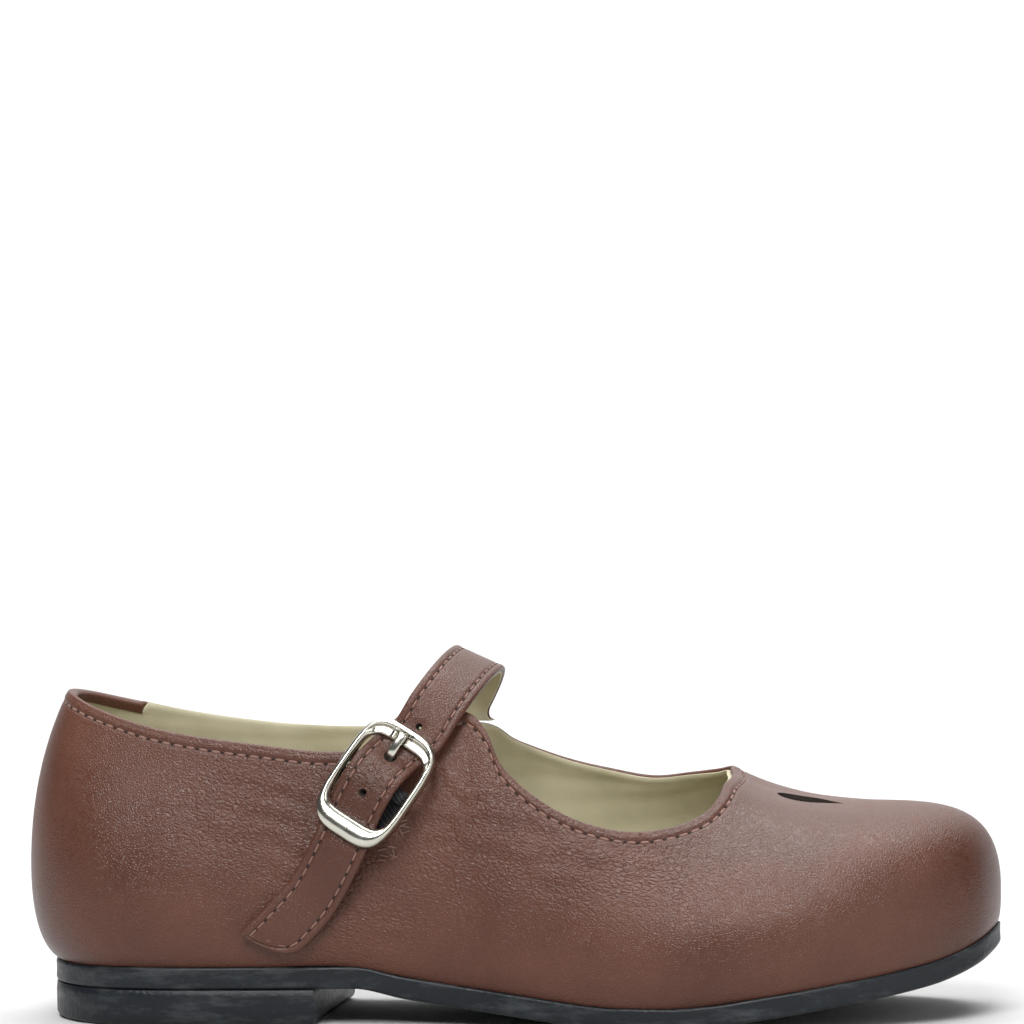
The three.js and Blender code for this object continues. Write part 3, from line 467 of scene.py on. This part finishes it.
def brown_leather(name, dark, light, rough):
    """Soft dyed leather: cloudy colour, a fine grain of cells, crepe where it flexes and an uneven shine."""
    material, tree, shader = finish(name, dark, rough)
    where = add(tree, "TexCoord").outputs["Object"]
    drift = add(tree, "TexNoise", Vector=where, Scale=420, Detail=2)
    pulled = add(tree, "VectorMath", {0: drift.outputs["Color"], 1: (0.0004, 0.0004, 0.0004), 2: where},
                 operation="MULTIPLY_ADD").outputs[0]
    cells = add(tree, "TexVoronoi", feature="DISTANCE_TO_EDGE", Vector=pulled, Scale=2200)
    grain = ranged(tree, cells.outputs["Distance"], interpolation_type="SMOOTHSTEP", From_Max=0.32)
    pores = speckle(tree, where, Scale=3200, Detail=3)
    surface = add(tree, "Math", {0: pores, 1: 0.7, 2: grain}, operation="MULTIPLY_ADD").outputs[0]
    slant = add(tree, "Mapping", Vector=pulled, Rotation=(0, math.radians(-24), 0))
    squeeze = add(tree, "Mapping", Vector=slant.outputs["Vector"], Scale=(0.6, 1, 1))
    crepe = add(tree, "TexVoronoi", feature="DISTANCE_TO_EDGE", Vector=squeeze.outputs["Vector"], Scale=1300)
    crepe_height = ranged(tree, crepe.outputs["Distance"], interpolation_type="SMOOTHSTEP", From_Max=0.3)
    flex = add(tree, "Attribute", attribute_name="flex").outputs["Fac"]
    creased = add(tree, "Math", {0: crepe_height, 1: flex}, operation="MULTIPLY").outputs[0]
    cloud = speckle(tree, where, Scale=38, Detail=6, Roughness=0.6)
    valley = ranged(tree, surface, To_Min=0.62)
    tint = add(tree, "Mix", {0: 0.6, 6: ramp(tree, cloud, (0.34, dark), (0.68, light)), 7: valley},
               data_type="RGBA", blend_type="MULTIPLY")
    put(shader, Base_Color=tint.outputs[2], Specular_IOR_Level=0.42,
        Roughness=ranged(tree, cloud, From_Min=0.3, From_Max=0.75, To_Min=rough - 0.06, To_Max=rough + 0.1),
        Normal=bump(tree, creased, 0.9, 0.00014, Normal=bump(tree, surface, 0.7, 0.00007)))
    return material


upper_brown = brown_leather("upper_brown", (0.076, 0.0245, 0.013), (0.116, 0.0415, 0.0235), 0.35)
upper.data.materials.append(upper_brown)

cream, tree, shader = finish("cream_lining", (0.62, 0.57, 0.39), 0.75)
where = add(tree, "TexCoord").outputs["Object"]
shade = speckle(tree, where, Scale=90, Detail=6)
nap = speckle(tree, where, Scale=2200, Detail=2)
put(shader, Base_Color=ramp(tree, shade, (0.3, (0.4, 0.365, 0.235)), (0.72, (0.54, 0.495, 0.355))),
    Normal=bump(tree, nap, 0.35, 0.0001))
lining.data.materials.append(cream)

for piece, slot in ((upper, "upper_leather"), (lining, "insole_lining")):
    cut_with(piece, punch)
    bpy.ops.object.shade_smooth_by_angle(angle=math.radians(50))
    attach(piece, "root")
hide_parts("upper")
bpy.data.objects.remove(punch)
worn_where(upper, ((53, 32, 17, 11), (30, 24, 16, 12), (14, 36, 13, 10), (78, 27, 22, 7)))

# Stitches: one twisted brown thread, 2.3 mm from hole to hole, which lies in the groove that it presses into
# the leather. Between one stitch and the next, a near-black bead stands for the needle hole as painted shade.
thread, tree, shader = finish("brown_thread", (0.21, 0.115, 0.09), 0.55)
ply = add(tree, "TexWave", Vector=add(tree, "TexCoord").outputs["Object"], Scale=900, Distortion=2)
put(shader, Normal=bump(tree, ply.outputs["Fac"], 0.5, 0.0001))
# Painted shade: the near-black beads at the needle holes stand for the shadow in each hole.
needle_hole_painted_shade, tree, shader = finish("needle_hole", (0.012, 0.006, 0.005), 0.9)
speck = speckle(tree, add(tree, "TexCoord").outputs["Object"], Scale=1500)
put(shader, Base_Color=ramp(tree, speck, (0, (0.006, 0.003, 0.003)), (1, (0.03, 0.015, 0.012))))


def beads(name, places, along, out, length, width, height, material):
    """One small rounded bead modelled once and repeated at each place, lying along and facing out."""
    bpy.ops.object.select_all(action="DESELECT")
    bpy.ops.mesh.primitive_uv_sphere_add(segments=8, ring_count=6, radius=0.5)
    piece = bpy.context.object
    piece.name = piece.data.name = name
    one = np.array([v.co for v in piece.data.vertices])
    one = np.sign(one) * np.abs(2 * one) ** 0.75 / 2 * [width, height, length]
    faces = [list(f.vertices) for f in piece.data.polygons]
    out = unit(out)
    along = unit(along - out * np.sum(along * out, axis=1, keepdims=True))
    across = np.cross(out, along)
    points = (places[:, None] + one[None, :, 0:1] * across[:, None] + one[None, :, 1:2] * out[:, None]
              + one[None, :, 2:3] * along[:, None])
    points = in_scene(points.reshape(-1, 3))
    every = [[i + k * len(one) for i in face] for k in range(len(places)) for face in faces]
    piece.data.clear_geometry()
    piece.data.from_pydata(points.tolist(), [], every)
    piece.data.update()
    bpy.ops.object.mode_set(mode="EDIT")
    bpy.ops.mesh.select_all(action="SELECT")
    bpy.ops.mesh.normals_make_consistent(inside=False)
    bpy.ops.object.mode_set(mode="OBJECT")
    bpy.ops.object.shade_smooth()
    piece.data.materials.append(material)
    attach(piece, "root")
    return piece


def spaced(path, pitch):
    """Index places along a path of points, one pitch apart."""
    lengths = np.concatenate([[0], np.cumsum(np.linalg.norm(np.diff(path, axis=0), axis=1))])
    count = max(int(lengths[-1] / pitch), 1)
    return np.interp(np.arange(count + 1) * lengths[-1] / count, lengths, np.arange(len(path)))


def at(values, index):
    low = np.clip(np.floor(index).astype(int), 0, len(values) - 2)
    part = (index - low)[:, None]
    return values[low] * (1 - part) + values[low + 1] * part


# The seam starts and ends beside the strap's foot, which covers 15 of the places round the shoe.
stitch_pitch = 2.3
foot_place = 0.827 * round_count
foot_covers = 15
seam_point, seam_way = under_rim(seam_line)
seam_point = seam_point - seam_way * 0.2
order = (np.arange(round_count - foot_covers) + int(foot_place) + 8) % round_count
seam_path, seam_out = seam_point[order], seam_way[order]
hole_index = spaced(seam_path, stitch_pitch)
mid_index = (hole_index[:-1] + hole_index[1:]) / 2
seam_along = np.gradient(seam_path, axis=0)
seam = beads("topline_stitches", at(seam_path, mid_index), at(seam_along, mid_index), at(seam_out, mid_index),
             1.6, 0.52, 0.4, thread)
pricks = beads("topline_needle_holes", at(seam_path, hole_index) + at(seam_out, hole_index) * 0.05,
               at(seam_along, hole_index), at(seam_out, hole_index), 0.62, 0.46, 0.2, needle_hole_painted_shade)

# Tacks: the elastic's end is sewn to the outer quarter at two places beside the buckle, each with a few turns
# of the same thread. The turns cross each other and are listed one by one.
tack_turns = np.array([[39.9, 35.1, 42.3, 35.7], [40.2, 34.6, 42.5, 34.4], [40.1, 33.9, 42.4, 35.2],
                       [40.3, 33.2, 42.5, 33.6], [40.6, 34.3, 41.3, 32.7], [36.2, 30.5, 38.6, 30.9],
                       [37.6, 31.1, 40.4, 30.6], [36.4, 29.6, 38.9, 29.3], [38.2, 29.9, 40.7, 28.9],
                       [36.3, 28.9, 38.2, 28.6], [38.4, 28.7, 40.5, 29.5], [39.4, 31.2, 39.9, 28.8]])


def on_quarter(x, z):
    """The place on the outer side and the way out from it, for places in the side view in millimetres."""
    away = (skin[..., 0] - origin_x - x) ** 2 + (skin[..., 2] - z) ** 2 + np.where(skin[..., 1] < 0, 0, 1e6)
    found = np.unravel_index(np.argmin(away), away.shape)
    return dressed[found], skin_out[found]


tack_ends = np.array([[on_quarter(x0, z0)[0], on_quarter(x1, z1)[0]] for x0, z0, x1, z1 in tack_turns])
tack_out = np.array([on_quarter((x0 + x1) / 2, (z0 + z1) / 2)[1] for x0, z0, x1, z1 in tack_turns])
tacks = beads("elastic_tacks", tack_ends.mean(axis=1) + tack_out * 0.12, tack_ends[:, 1] - tack_ends[:, 0],
              tack_out, 1.7, 0.24, 0.26, thread)

# Strap: one band of the same leather over a cream lining, edges turned and stitched, pointed at the tail.
# It runs from the inner quarter over the instep, through the buckle and down the outer quarter.
strap_width = 9.6
strap_thickness = 1.5
tip_length = 8
# Middle line from the tail to the inner quarter: place and the way out of the strap's face
strap_route = np.array([
    [15.99, -23.96, 13.08, 0.032, -0.956, -0.291], [20.81, -24.5, 17.5, 0.055, -0.995, -0.089],
    [25.61, -24.42, 22.79, 0.053, -0.999, 0.01], [31.27, -26.1, 32.56, 0.012, -0.95, 0.311],
    [33, -24.64, 36.96, 0.012, -0.95, 0.311], [35.63, -25.27, 41.7, 0.012, -0.95, 0.311],
    [37.4, -24.4, 44.3, 0.012, -0.95, 0.311], [40.45, -21.13, 47.44, 0.012, -0.95, 0.311],
    [43.75, -20.22, 50.09, 0.012, -0.95, 0.311], [46.56, -18.71, 54.55, 0.157, -0.927, 0.341],
    [49.06, -14.13, 58.51, 0.297, -0.706, 0.643], [50.71, -7.22, 61.13, 0.389, -0.374, 0.842],
    [51.26, 0.57, 62, 0.419, 0, 0.908], [50.74, 6.66, 61.16, 0.389, 0.374, 0.842],
    [49.19, 12.07, 58.61, 0.297, 0.706, 0.643], [46.84, 15.65, 54.76, 0.157, 0.927, 0.341],
    [44.2, 16.84, 50.42, 0.049, 0.968, 0.247],
])
strap_steps = 440
strap_place = np.linspace(0, len(strap_route) - 1, strap_steps)
strap_line = curve(strap_route[:, :3], strap_place, False) + [origin_x, 0, 0]
strap_along = unit(np.gradient(strap_line, axis=0))
strap_out = at(strap_route[:, 3:], strap_place)
strap_out = unit(strap_out - strap_along * np.sum(strap_out * strap_along, axis=1, keepdims=True))
strap_across = np.cross(strap_along, strap_out)
strap_run = np.concatenate([[0], np.cumsum(np.linalg.norm(np.diff(strap_line, axis=0), axis=1))])
to_foot = strap_run[-1] - strap_run
foot_along = np.array([0.999, -0.047, -0.005])
toward = np.clip(1 - to_foot / strap_width, 0, 1) ** 2
strap_side = unit(strap_across * (1 - toward[:, None]) + foot_along * toward[:, None])
slant = 1 / np.maximum(0.6, np.abs(np.sum(strap_across * strap_side, axis=1)))
strap_half = strap_width / 2 * (1 + (slant - 1) * toward) + 2.2 * np.clip(1 - to_foot / 5.5, 0, 1) ** 2
opening = 1 - np.clip(1 - strap_run / tip_length, 0, 1) ** 3.5
strap_back = -strap_half
strap_front = -strap_half + 2 * strap_half * opening
strap_holes = ((49.96, 0.68, -0.6), (42.16, 1.25, 0), (34.36, 0.8, 0), (26.56, 0.8, 0))


def on_strap(run, side, lift):
    """Places on the strap at a run from the tail, a side offset and a lift from its middle line."""
    k = np.interp(run, strap_run, np.arange(strap_steps))
    return (at(strap_line, k) + at(strap_side, k) * np.asarray(side)[:, None]
            + at(strap_out, k) * np.asarray(lift)[:, None])


def strap_rows(inset, low, high, seamed):
    """Closed rows round the strap between two heights, with turned edges and the grooves of its seams."""
    soft = min(0.42, (high - low) / 2)
    shares = np.linspace(0, 1, 45)
    rows = []
    back, front = strap_back + inset, np.maximum(strap_front - inset, strap_back + inset)
    room = np.minimum(soft, (front - back) / 2)
    for share in shares:
        w = back + room + (front - back - 2 * room) * share
        edge = np.minimum(w - strap_back, strap_front - w)
        lift = np.full(strap_steps, float(high))
        if seamed:
            lift += 0.07 * np.exp(-((edge - 0.8) / 0.5) ** 2) - 0.2 * np.exp(-((edge - 1.5) / 0.3) ** 2)
            for run, radius, aside in strap_holes:
                d = np.hypot(strap_run - run, w - aside - (strap_back + strap_front) / 2)
                lift -= 0.22 * np.exp(-(d / (radius + 0.5)) ** 4)
            lift -= np.where(front - back < 3, (high - low) * 0.25 * (1 - (front - back) / 3), 0)
        rows.append((w, lift))
    middle, half = (high + low) / 2, (high - low) / 2
    for a in np.linspace(90, -90, 9)[1:-1]:
        turn_in = math.cos(math.radians(a)) * room
        rows.append((front - room + turn_in, np.full(strap_steps, middle + half * math.sin(math.radians(a)))))
    for share in (1, 0.75, 0.5, 0.25, 0):
        rows.append((back + room + (front - back - 2 * room) * share, np.full(strap_steps, float(low))))
    for a in np.linspace(-90, 90, 9)[1:-1]:
        turn_in = math.cos(math.radians(a)) * room
        rows.append((back + room - turn_in, np.full(strap_steps, middle + half * math.sin(math.radians(a)))))
    return [strap_line + strap_side * w[:, None] + strap_out * lift[:, None] for w, lift in rows]


strap = lay_grid("strap_leather", strap_rows(0, -0.2, strap_thickness / 2, True), band=True)
strap_lining = lay_grid("strap_lining", strap_rows(0.22, -strap_thickness / 2, -0.14, False), band=True)
strap.data.materials.append(brown_leather("strap_brown", (0.068, 0.022, 0.0115), (0.1, 0.0355, 0.0205), 0.34))
strap_lining.data.materials.append(cream)
for run, radius, aside in strap_holes:
    k = np.array([np.interp(run, strap_run, np.arange(strap_steps))])
    side = (at(strap_back[:, None], k)[0] + at(strap_front[:, None], k)[0]) / 2 + aside
    centre = in_scene(on_strap(np.array([run]), side, np.zeros(1))[0])
    way = Vector(unit(at(strap_out, k))[0])
    bpy.ops.object.select_all(action="DESELECT")
    bpy.ops.mesh.primitive_cone_add(vertices=32, radius1=0, radius2=1.975 * radius / 1000, depth=0.00456,
                                    location=Vector(centre) + way * 0.00072,
                                    rotation=way.to_track_quat("Z", "Y").to_euler())
    awl = bpy.context.object
    # The cutter carries the near-black painted shade onto the walls of each strap hole.
    awl.data.materials.append(cut_wall_painted_shade)
    cut_with(strap, awl)
    cut_with(strap_lining, awl)
    bpy.data.objects.remove(awl)
for piece, slot in ((strap, "strap_leather"), (strap_lining, "insole_lining")):
    pick(piece)
    bpy.ops.object.shade_smooth_by_angle(angle=math.radians(50))
    worn_where(piece, ((36.5, 42.5, 5, 4),))
    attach(piece, "root")
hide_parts("strap")

# Strap seam: it runs down the back edge, round the pointed tail and up the front edge, 1.5 mm inside them.
# Where the edges of the tail come close together, it takes the shorter way between them.
strap_pitch = 2.4
strap_margin = 1.5
edge_run = np.linspace(0, strap_run[-1] - strap_margin, 900)
back_edge = np.stack([edge_run, np.interp(edge_run, strap_run, strap_back)], axis=1)
front_edge = np.stack([edge_run, np.interp(edge_run, strap_run, strap_front)], axis=1)
outline = np.concatenate([back_edge[::-1], front_edge])
way_in = np.gradient(outline, axis=0)
way_in = unit(np.stack([way_in[:, 1], -way_in[:, 0]], axis=1) + 1e-12)
seam_2d = outline + way_in * strap_margin
middle_gap = np.abs(seam_2d[:, 1]) < strap_width
clear = np.array([np.min(np.hypot(*(outline[::3] - p).T)) > strap_margin - 0.06 for p in seam_2d])
seam_2d = seam_2d[clear & middle_gap]
seam_3d = on_strap(seam_2d[:, 0], seam_2d[:, 1], np.full(len(seam_2d), strap_thickness / 2 - 0.13))
k = np.interp(seam_2d[:, 0], strap_run, np.arange(strap_steps))
seam_face = at(strap_out, k)
hole_index = spaced(seam_3d, strap_pitch)
mid_index = (hole_index[:-1] + hole_index[1:]) / 2
seam_go = np.gradient(seam_3d, axis=0)
strap_seam = beads("strap_stitches", at(seam_3d, mid_index), at(seam_go, mid_index), at(seam_face, mid_index),
                   1.72, 0.36, 0.3, thread)
# Near-black beads at the needle holes, painted shade as on the topline.
strap_pricks = beads("strap_needle_holes", at(seam_3d, hole_index) + at(seam_face, hole_index) * 0.02,
                     at(seam_go, hole_index), at(seam_face, hole_index), 0.62, 0.44, 0.2, needle_hole_painted_shade)

# Buckle: cast and polished, nickel plated, barrel-sided, all round bars with a ledge on the upper one.
# Its prong turns on a middle bar and lies in a notch of the ledge.
buckle_length = 22.3
buckle_width = 15.2
side_bar = 1.6
top_bar = 3.4
bottom_bar = 4.1
frame_low = 2.95
frame_thickness = 1.6
bar_lift = 1.65
prong_side = -0.6
buckle_seat = np.array([36.87 + origin_x, -21.24, 41.11])
buckle_up = np.array([0.541, 0.267, 0.797])
buckle_across = np.array([0.841, -0.159, -0.518])
buckle_out = np.array([0.012, -0.95, 0.311])
inner_top = buckle_length / 2 - top_bar
inner_bottom = bottom_bar - buckle_length / 2
bar_up = (inner_top + inner_bottom) / 2


def on_buckle(w, a, n):
    return (buckle_seat + np.asarray(w)[..., None] * buckle_across + np.asarray(a)[..., None] * buckle_up
            + np.asarray(n)[..., None] * buckle_out)


def barrel(angle, half_w, half_a, centre, square):
    c, s = np.cos(angle), np.sin(angle)
    return (np.sign(c) * np.abs(c) ** (2 / square) * half_w,
            centre + np.sign(s) * np.abs(s) ** (2 / square) * half_a)


turns = np.arange(240) * 2 * math.pi / 240
out_w, out_a = barrel(turns, buckle_width / 2, buckle_length / 2, 0, 3.6)
in_w, in_a = barrel(turns, buckle_width / 2 - side_bar, (inner_top - inner_bottom) / 2, bar_up, 5)
upper_part = np.clip((np.sin(turns) - 0.35) / 0.45, 0, 1)
upper_part = upper_part ** 2 * (3 - 2 * upper_part)
buckle_rows = []
for share in np.linspace(0, 1, 33):
    w = out_w + (in_w - out_w) * share
    a = out_a + (in_a - out_a) * share
    plain = max(0.0, 1 - abs(2 * share - 1) ** 2.2) ** 0.5
    ledge = max(0.0, 1 - abs(share / 0.275 - 1) ** 2.6) ** 0.5 if share < 0.55 else 0.0
    ledge = max(ledge, 0.5 * max(0.0, 1 - max(0, (share - 0.86) / 0.14) ** 3) if share > 0.3 else 0.0)
    high = plain + (ledge - plain) * upper_part
    notch = np.exp(-((w - prong_side) / 0.95) ** 6) * upper_part * (share > 0.3)
    cheek = np.exp(-((np.abs(w - prong_side) - 1.35) / 0.34) ** 2) * upper_part * (0.42 < share < 0.93)
    high = high * (1 - 0.7 * notch) + 0.28 * cheek
    buckle_rows.append(on_buckle(w, a, frame_low + frame_thickness * high))
for share in (0.96, 0.8, 0.6, 0.4, 0.2, 0.04):
    w = out_w + (in_w - out_w) * share
    a = out_a + (in_a - out_a) * share
    buckle_rows.append(on_buckle(w, a, np.full(len(turns), frame_low - 0.02)))
buckle = lay_grid("buckle_frame_plated", buckle_rows)
bpy.ops.object.select_all(action="DESELECT")
bar_turn = Vector(buckle_across).to_track_quat("Z", "Y").to_euler()
bpy.ops.mesh.primitive_cylinder_add(vertices=24, radius=0.0006, depth=0.0131, rotation=bar_turn,
                                    location=in_scene(on_buckle(0, bar_up, bar_lift)))
buckle_bar = bpy.context.object
buckle_bar.name = buckle_bar.data.name = "buckle_bar"
bpy.ops.object.transform_apply(location=True, rotation=True, scale=True)
bpy.ops.object.mode_set(mode="EDIT")
bpy.ops.mesh.select_all(action="SELECT")
bpy.ops.mesh.bevel(offset=0.00012, segments=2)
bpy.ops.object.mode_set(mode="OBJECT")
bpy.ops.object.shade_smooth_by_angle(angle=math.radians(40))

plate, tree, shader = finish("bright_nickel", (0.58, 0.57, 0.5), 0.13, Metallic=1)
wear = speckle(tree, add(tree, "TexCoord").outputs["Object"], Scale=420, Detail=4)
put(shader, Roughness=ranged(tree, wear, To_Min=0.13, To_Max=0.27), Normal=bump(tree, wear, 0.12, 0.0001),
    Base_Color=ramp(tree, wear, (0, (0.5, 0.485, 0.415)), (1, (0.68, 0.665, 0.59))))

# Prong: a stub of the same metal on the middle bar, bent up through the hole of the strap and flattened where
# it lies in the notch of the upper bar.
rest = frame_low + frame_thickness * 0.5 + 0.25
prong_bend = np.array([[bar_up + 0.2, bar_lift + 0.95], [bar_up + 1.4, bar_lift + 0.5], [3.4, 1.9],
                       [4.8, 2.6], [6.0, 3.7], [7.0, rest], [8.2, rest + 0.12], [9.3, rest + 0.1],
                       [9.75, rest - 0.15]])
prong_path = curve(prong_bend, np.linspace(0, len(prong_bend) - 1, 60), False)
prong_go = unit(np.gradient(prong_path, axis=0))
prong_up = np.stack([-prong_go[:, 1], prong_go[:, 0]], axis=1)
taper = np.clip((60 - np.arange(60)) / 6, 0.35, 1) ** 0.5
prong_rows = []
for a in np.arange(20) * 2 * math.pi / 20:
    w, h = barrel(np.array([a]), 0.8, 0.48, 0, 3)
    path = prong_path + prong_up * (h[0] * taper)[:, None]
    prong_rows.append(on_buckle(prong_side + w[0] * taper, path[:, 0], path[:, 1]))
prong = lay_grid("buckle_prong_plated", prong_rows, band=True)
for piece, slot in ((buckle, "buckle_metal"), (buckle_bar, "buckle_metal"), (prong, "prong_metal")):
    piece.data.materials.append(plate)
    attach(piece, "root")
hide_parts("buckle_frame")
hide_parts("buckle_prong")

# Tab: a flat ribbed elastic that holds the buckle. It comes up under the strap from where it is sewn to the
# outer quarter, goes round the middle bar and turns back.
band_half = 0.28
tab_half = 5.7
loop_radius = 1.05
loop = np.radians(np.linspace(-90, 170, 30))
tab_path = np.concatenate([
    np.stack([np.linspace(bar_up - 9.5, bar_up - 0.5, 30), np.full(30, bar_lift - loop_radius)], axis=1),
    np.stack([bar_up + loop_radius * np.cos(loop), bar_lift + loop_radius * np.sin(loop)], axis=1)])
tab_go = unit(np.gradient(tab_path, axis=0))
tab_up = np.stack([-tab_go[:, 1], tab_go[:, 0]], axis=1)
tab_rows = []
for share in np.linspace(-1, 1, 31):
    rib = 0.03 * np.cos(share * 31)
    face = tab_path + tab_up * (band_half + rib - 0.2 * abs(share) ** 12)
    tab_rows.append(on_buckle(np.full(len(face), share * tab_half), face[:, 0], face[:, 1]))
for share in np.linspace(1, -1, 31):
    face = tab_path - tab_up * (band_half - 0.2 * abs(share) ** 12)
    tab_rows.append(on_buckle(np.full(len(face), share * tab_half), face[:, 0], face[:, 1]))
tab = lay_grid("buckle_tab_elastic", tab_rows, band=True)
weave, tree, shader = finish("black_elastic", (0.012, 0.012, 0.014), 0.85)
turned = add(tree, "Mapping", Vector=add(tree, "TexCoord").outputs["Object"],
             Rotation=(0, math.radians(33), 0))
threads = add(tree, "TexWave", Vector=turned.outputs["Vector"], Scale=420, Distortion=1.5).outputs["Fac"]
put(shader, Base_Color=ramp(tree, threads, (0, (0.006, 0.006, 0.007)), (1, (0.028, 0.028, 0.032))),
    Normal=bump(tree, threads, 1, 0.0002))
tab.data.materials.append(weave)
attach(tab, "root")
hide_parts("buckle_tab")

# Sole: one moulding of satin black rubber, 3.9 mm at its edge, with softly rounded corners. Its underside is
# flat under the ball, rises over the arch and springs up at the toe.
sole_count = 400
sole_place = np.arange(sole_count) * ring_count / sole_count
mirror_place = (ring_count - sole_place) % ring_count


def sole_row(inset, lift, base, share=0.0):
    edge, _ = sole_edge(sole_place, np.full(sole_count, float(inset)))
    far, _ = sole_edge(mirror_place, np.full(sole_count, float(inset)))
    edge = edge * (1 - share) + (edge + far) / 2 * share
    edge[:, 2] = base(edge[:, 0]) + lift
    return edge


def sole_over(x):
    return sole_under(x) + sole_thickness


sole_rows = [sole_row(1.0, 0, sole_under, share) for share in (1, 0.8, 0.6, 0.4, 0.2, 0.08, 0)]
sole_rows += [sole_row(0.7 - 0.7 * math.sin(a), 0.7 - 0.7 * math.cos(a), sole_under)
              for a in np.linspace(0, math.pi / 2, 6)]
sole_rows += [sole_row(0.06 * math.sin(math.pi * s), 0.7 + (sole_thickness - 1.3) * s, sole_under)
              for s in (0.2, 0.4, 0.6, 0.8)]
sole_rows += [sole_row(0.6 - 0.6 * math.cos(a), 0.6 * math.sin(a) - 0.6, sole_over)
              for a in np.linspace(0, math.pi / 2, 6)]
sole_rows += [sole_row(1.2, 0, sole_over, share) for share in (0, 0.1, 0.4, 0.7, 1)]


def without_spine(piece):
    """Takes out the inner wall between the two middle lines, so that the piece is one closed skin."""
    bpy.ops.object.mode_set(mode="EDIT")
    bpy.ops.mesh.select_mode(type="VERT")
    bpy.ops.mesh.select_all(action="DESELECT")
    bpy.ops.mesh.select_non_manifold(use_wire=False, use_boundary=False, use_multi_face=True,
                                     use_non_contiguous=False, use_verts=False)
    bpy.ops.mesh.select_mode(type="FACE")
    bpy.ops.mesh.delete(type="FACE")
    bpy.ops.mesh.select_all(action="SELECT")
    bpy.ops.mesh.normals_make_consistent(inside=False)
    bpy.ops.object.mode_set(mode="OBJECT")
    bpy.ops.object.shade_smooth_by_angle(angle=math.radians(45))


sole = lay_grid("outsole_rubber", sole_rows)
without_spine(sole)

# Heel: a block of the same rubber under the seat, with a straight breast and a rounded foot. Its rows follow
# the sole's outline to the breast on both sides and run straight across it.
side_count, breast_count = 90, 60
breast_x = heel_overhang + heel_length
first = np.linspace(0, ring_count, 4001)
outline_x = curve(sole_ring, first, True)[:, 0]
near_end = first[np.argmax(outline_x > breast_x)]
far_end = first[len(first) - 1 - np.argmax(outline_x[::-1] > breast_x)] - ring_count
heel_place = np.concatenate([np.linspace(0, near_end, side_count), np.full(breast_count, np.nan),
                             np.linspace(far_end, 0, side_count + 1)[:-1]])
across_breast = np.isnan(heel_place)
heel_rows = []
for inset, lift, share in [(1.2, 0, 1), (1.2, 0, 0.6), (1.2, 0, 0.2), (1.2, 0, 0), (0.95, 0.04, 0),
                           (0.6, 0.2, 0), (0.28, 0.5, 0), (0.07, 0.85, 0), (0, 1.2, 0), (0, 3, 0), (0, 5, 0),
                           (0.1, 6.15, 0), (0.3, 6.33, 0), (0.6, 6.36, 0.05), (0.6, 6.36, 1)]:
    row, _ = sole_edge(np.where(across_breast, 0, heel_place) % ring_count, np.full(len(heel_place), inset))
    ends = row[side_count - 1], row[side_count + breast_count]
    row[across_breast] = np.linspace(*ends, breast_count + 2)[1:-1]
    row[:, 0] = np.minimum(row[:, 0], breast_x - inset)
    middle = np.stack([row[:, 0], row[:, 1] * 0, row[:, 2]], axis=1)
    row = row * (1 - share) + middle * share
    row[:, 2] = lift
    heel_rows.append(row)
heel_block = lay_grid("heel_block", heel_rows)
bpy.ops.object.shade_smooth_by_angle(angle=math.radians(45))

rubber, tree, shader = finish("black_rubber", (0.008, 0.0105, 0.0135), 0.4, Specular_IOR_Level=0.34)
where = add(tree, "TexCoord").outputs["Object"]
drawn = add(tree, "Mapping", Vector=where, Scale=(1, 1, 4)).outputs["Vector"]
smear = speckle(tree, drawn, Scale=110, Detail=8, Roughness=0.7)
mould = speckle(tree, where, Scale=900, Detail=4)
put(shader, Base_Color=ramp(tree, smear, (0.5, (0.0065, 0.009, 0.012)), (0.74, (0.045, 0.05, 0.053))),
    Roughness=ranged(tree, smear, From_Min=0.35, From_Max=0.7, To_Min=0.36, To_Max=0.6),
    Normal=bump(tree, mould, 0.6, 0.00025))
for piece, node, slot in ((sole, "outsole", "sole_rubber"), (heel_block, "heel", "heel_rubber")):
    piece.data.materials.append(rubber)
    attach(piece, "root")
    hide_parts(node)

# Insole: a cream leather sock over a thin board, cut to the inside of the lasted upper. Its soft edge lies
# against the lining.
insole_inset = feather_inset + wall + 0.3
insole_rows = [sole_row(insole_inset + 0.5, 0.35, sole_over, share) for share in (1, 0.5, 0)]
insole_rows += [sole_row(insole_inset, 0.5, sole_over)]
lining_place = sole_place * round_count / ring_count
before = np.floor(lining_place).astype(int)
part = (lining_place - before)[:, None]
for gap, lift in ((0.22, 1.75), (0.38, 2.12), (0.75, 2.28)):
    inside = skin[5] - skin_out[5] * (wall + gap)
    row = inside[before % round_count] * (1 - part) + inside[(before + 1) % round_count] * part
    row[:, 2] = sole_over(row[:, 0]) + lift
    insole_rows.append(row)
insole_rows += [sole_row(insole_inset + 0.9, 2.3, sole_over, share) for share in (0, 0.15, 0.4, 0.7, 1)]
insole = lay_grid("insole_sock", insole_rows)
without_spine(insole)
insole.data.materials.append(cream)
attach(insole, "root")
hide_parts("insole")
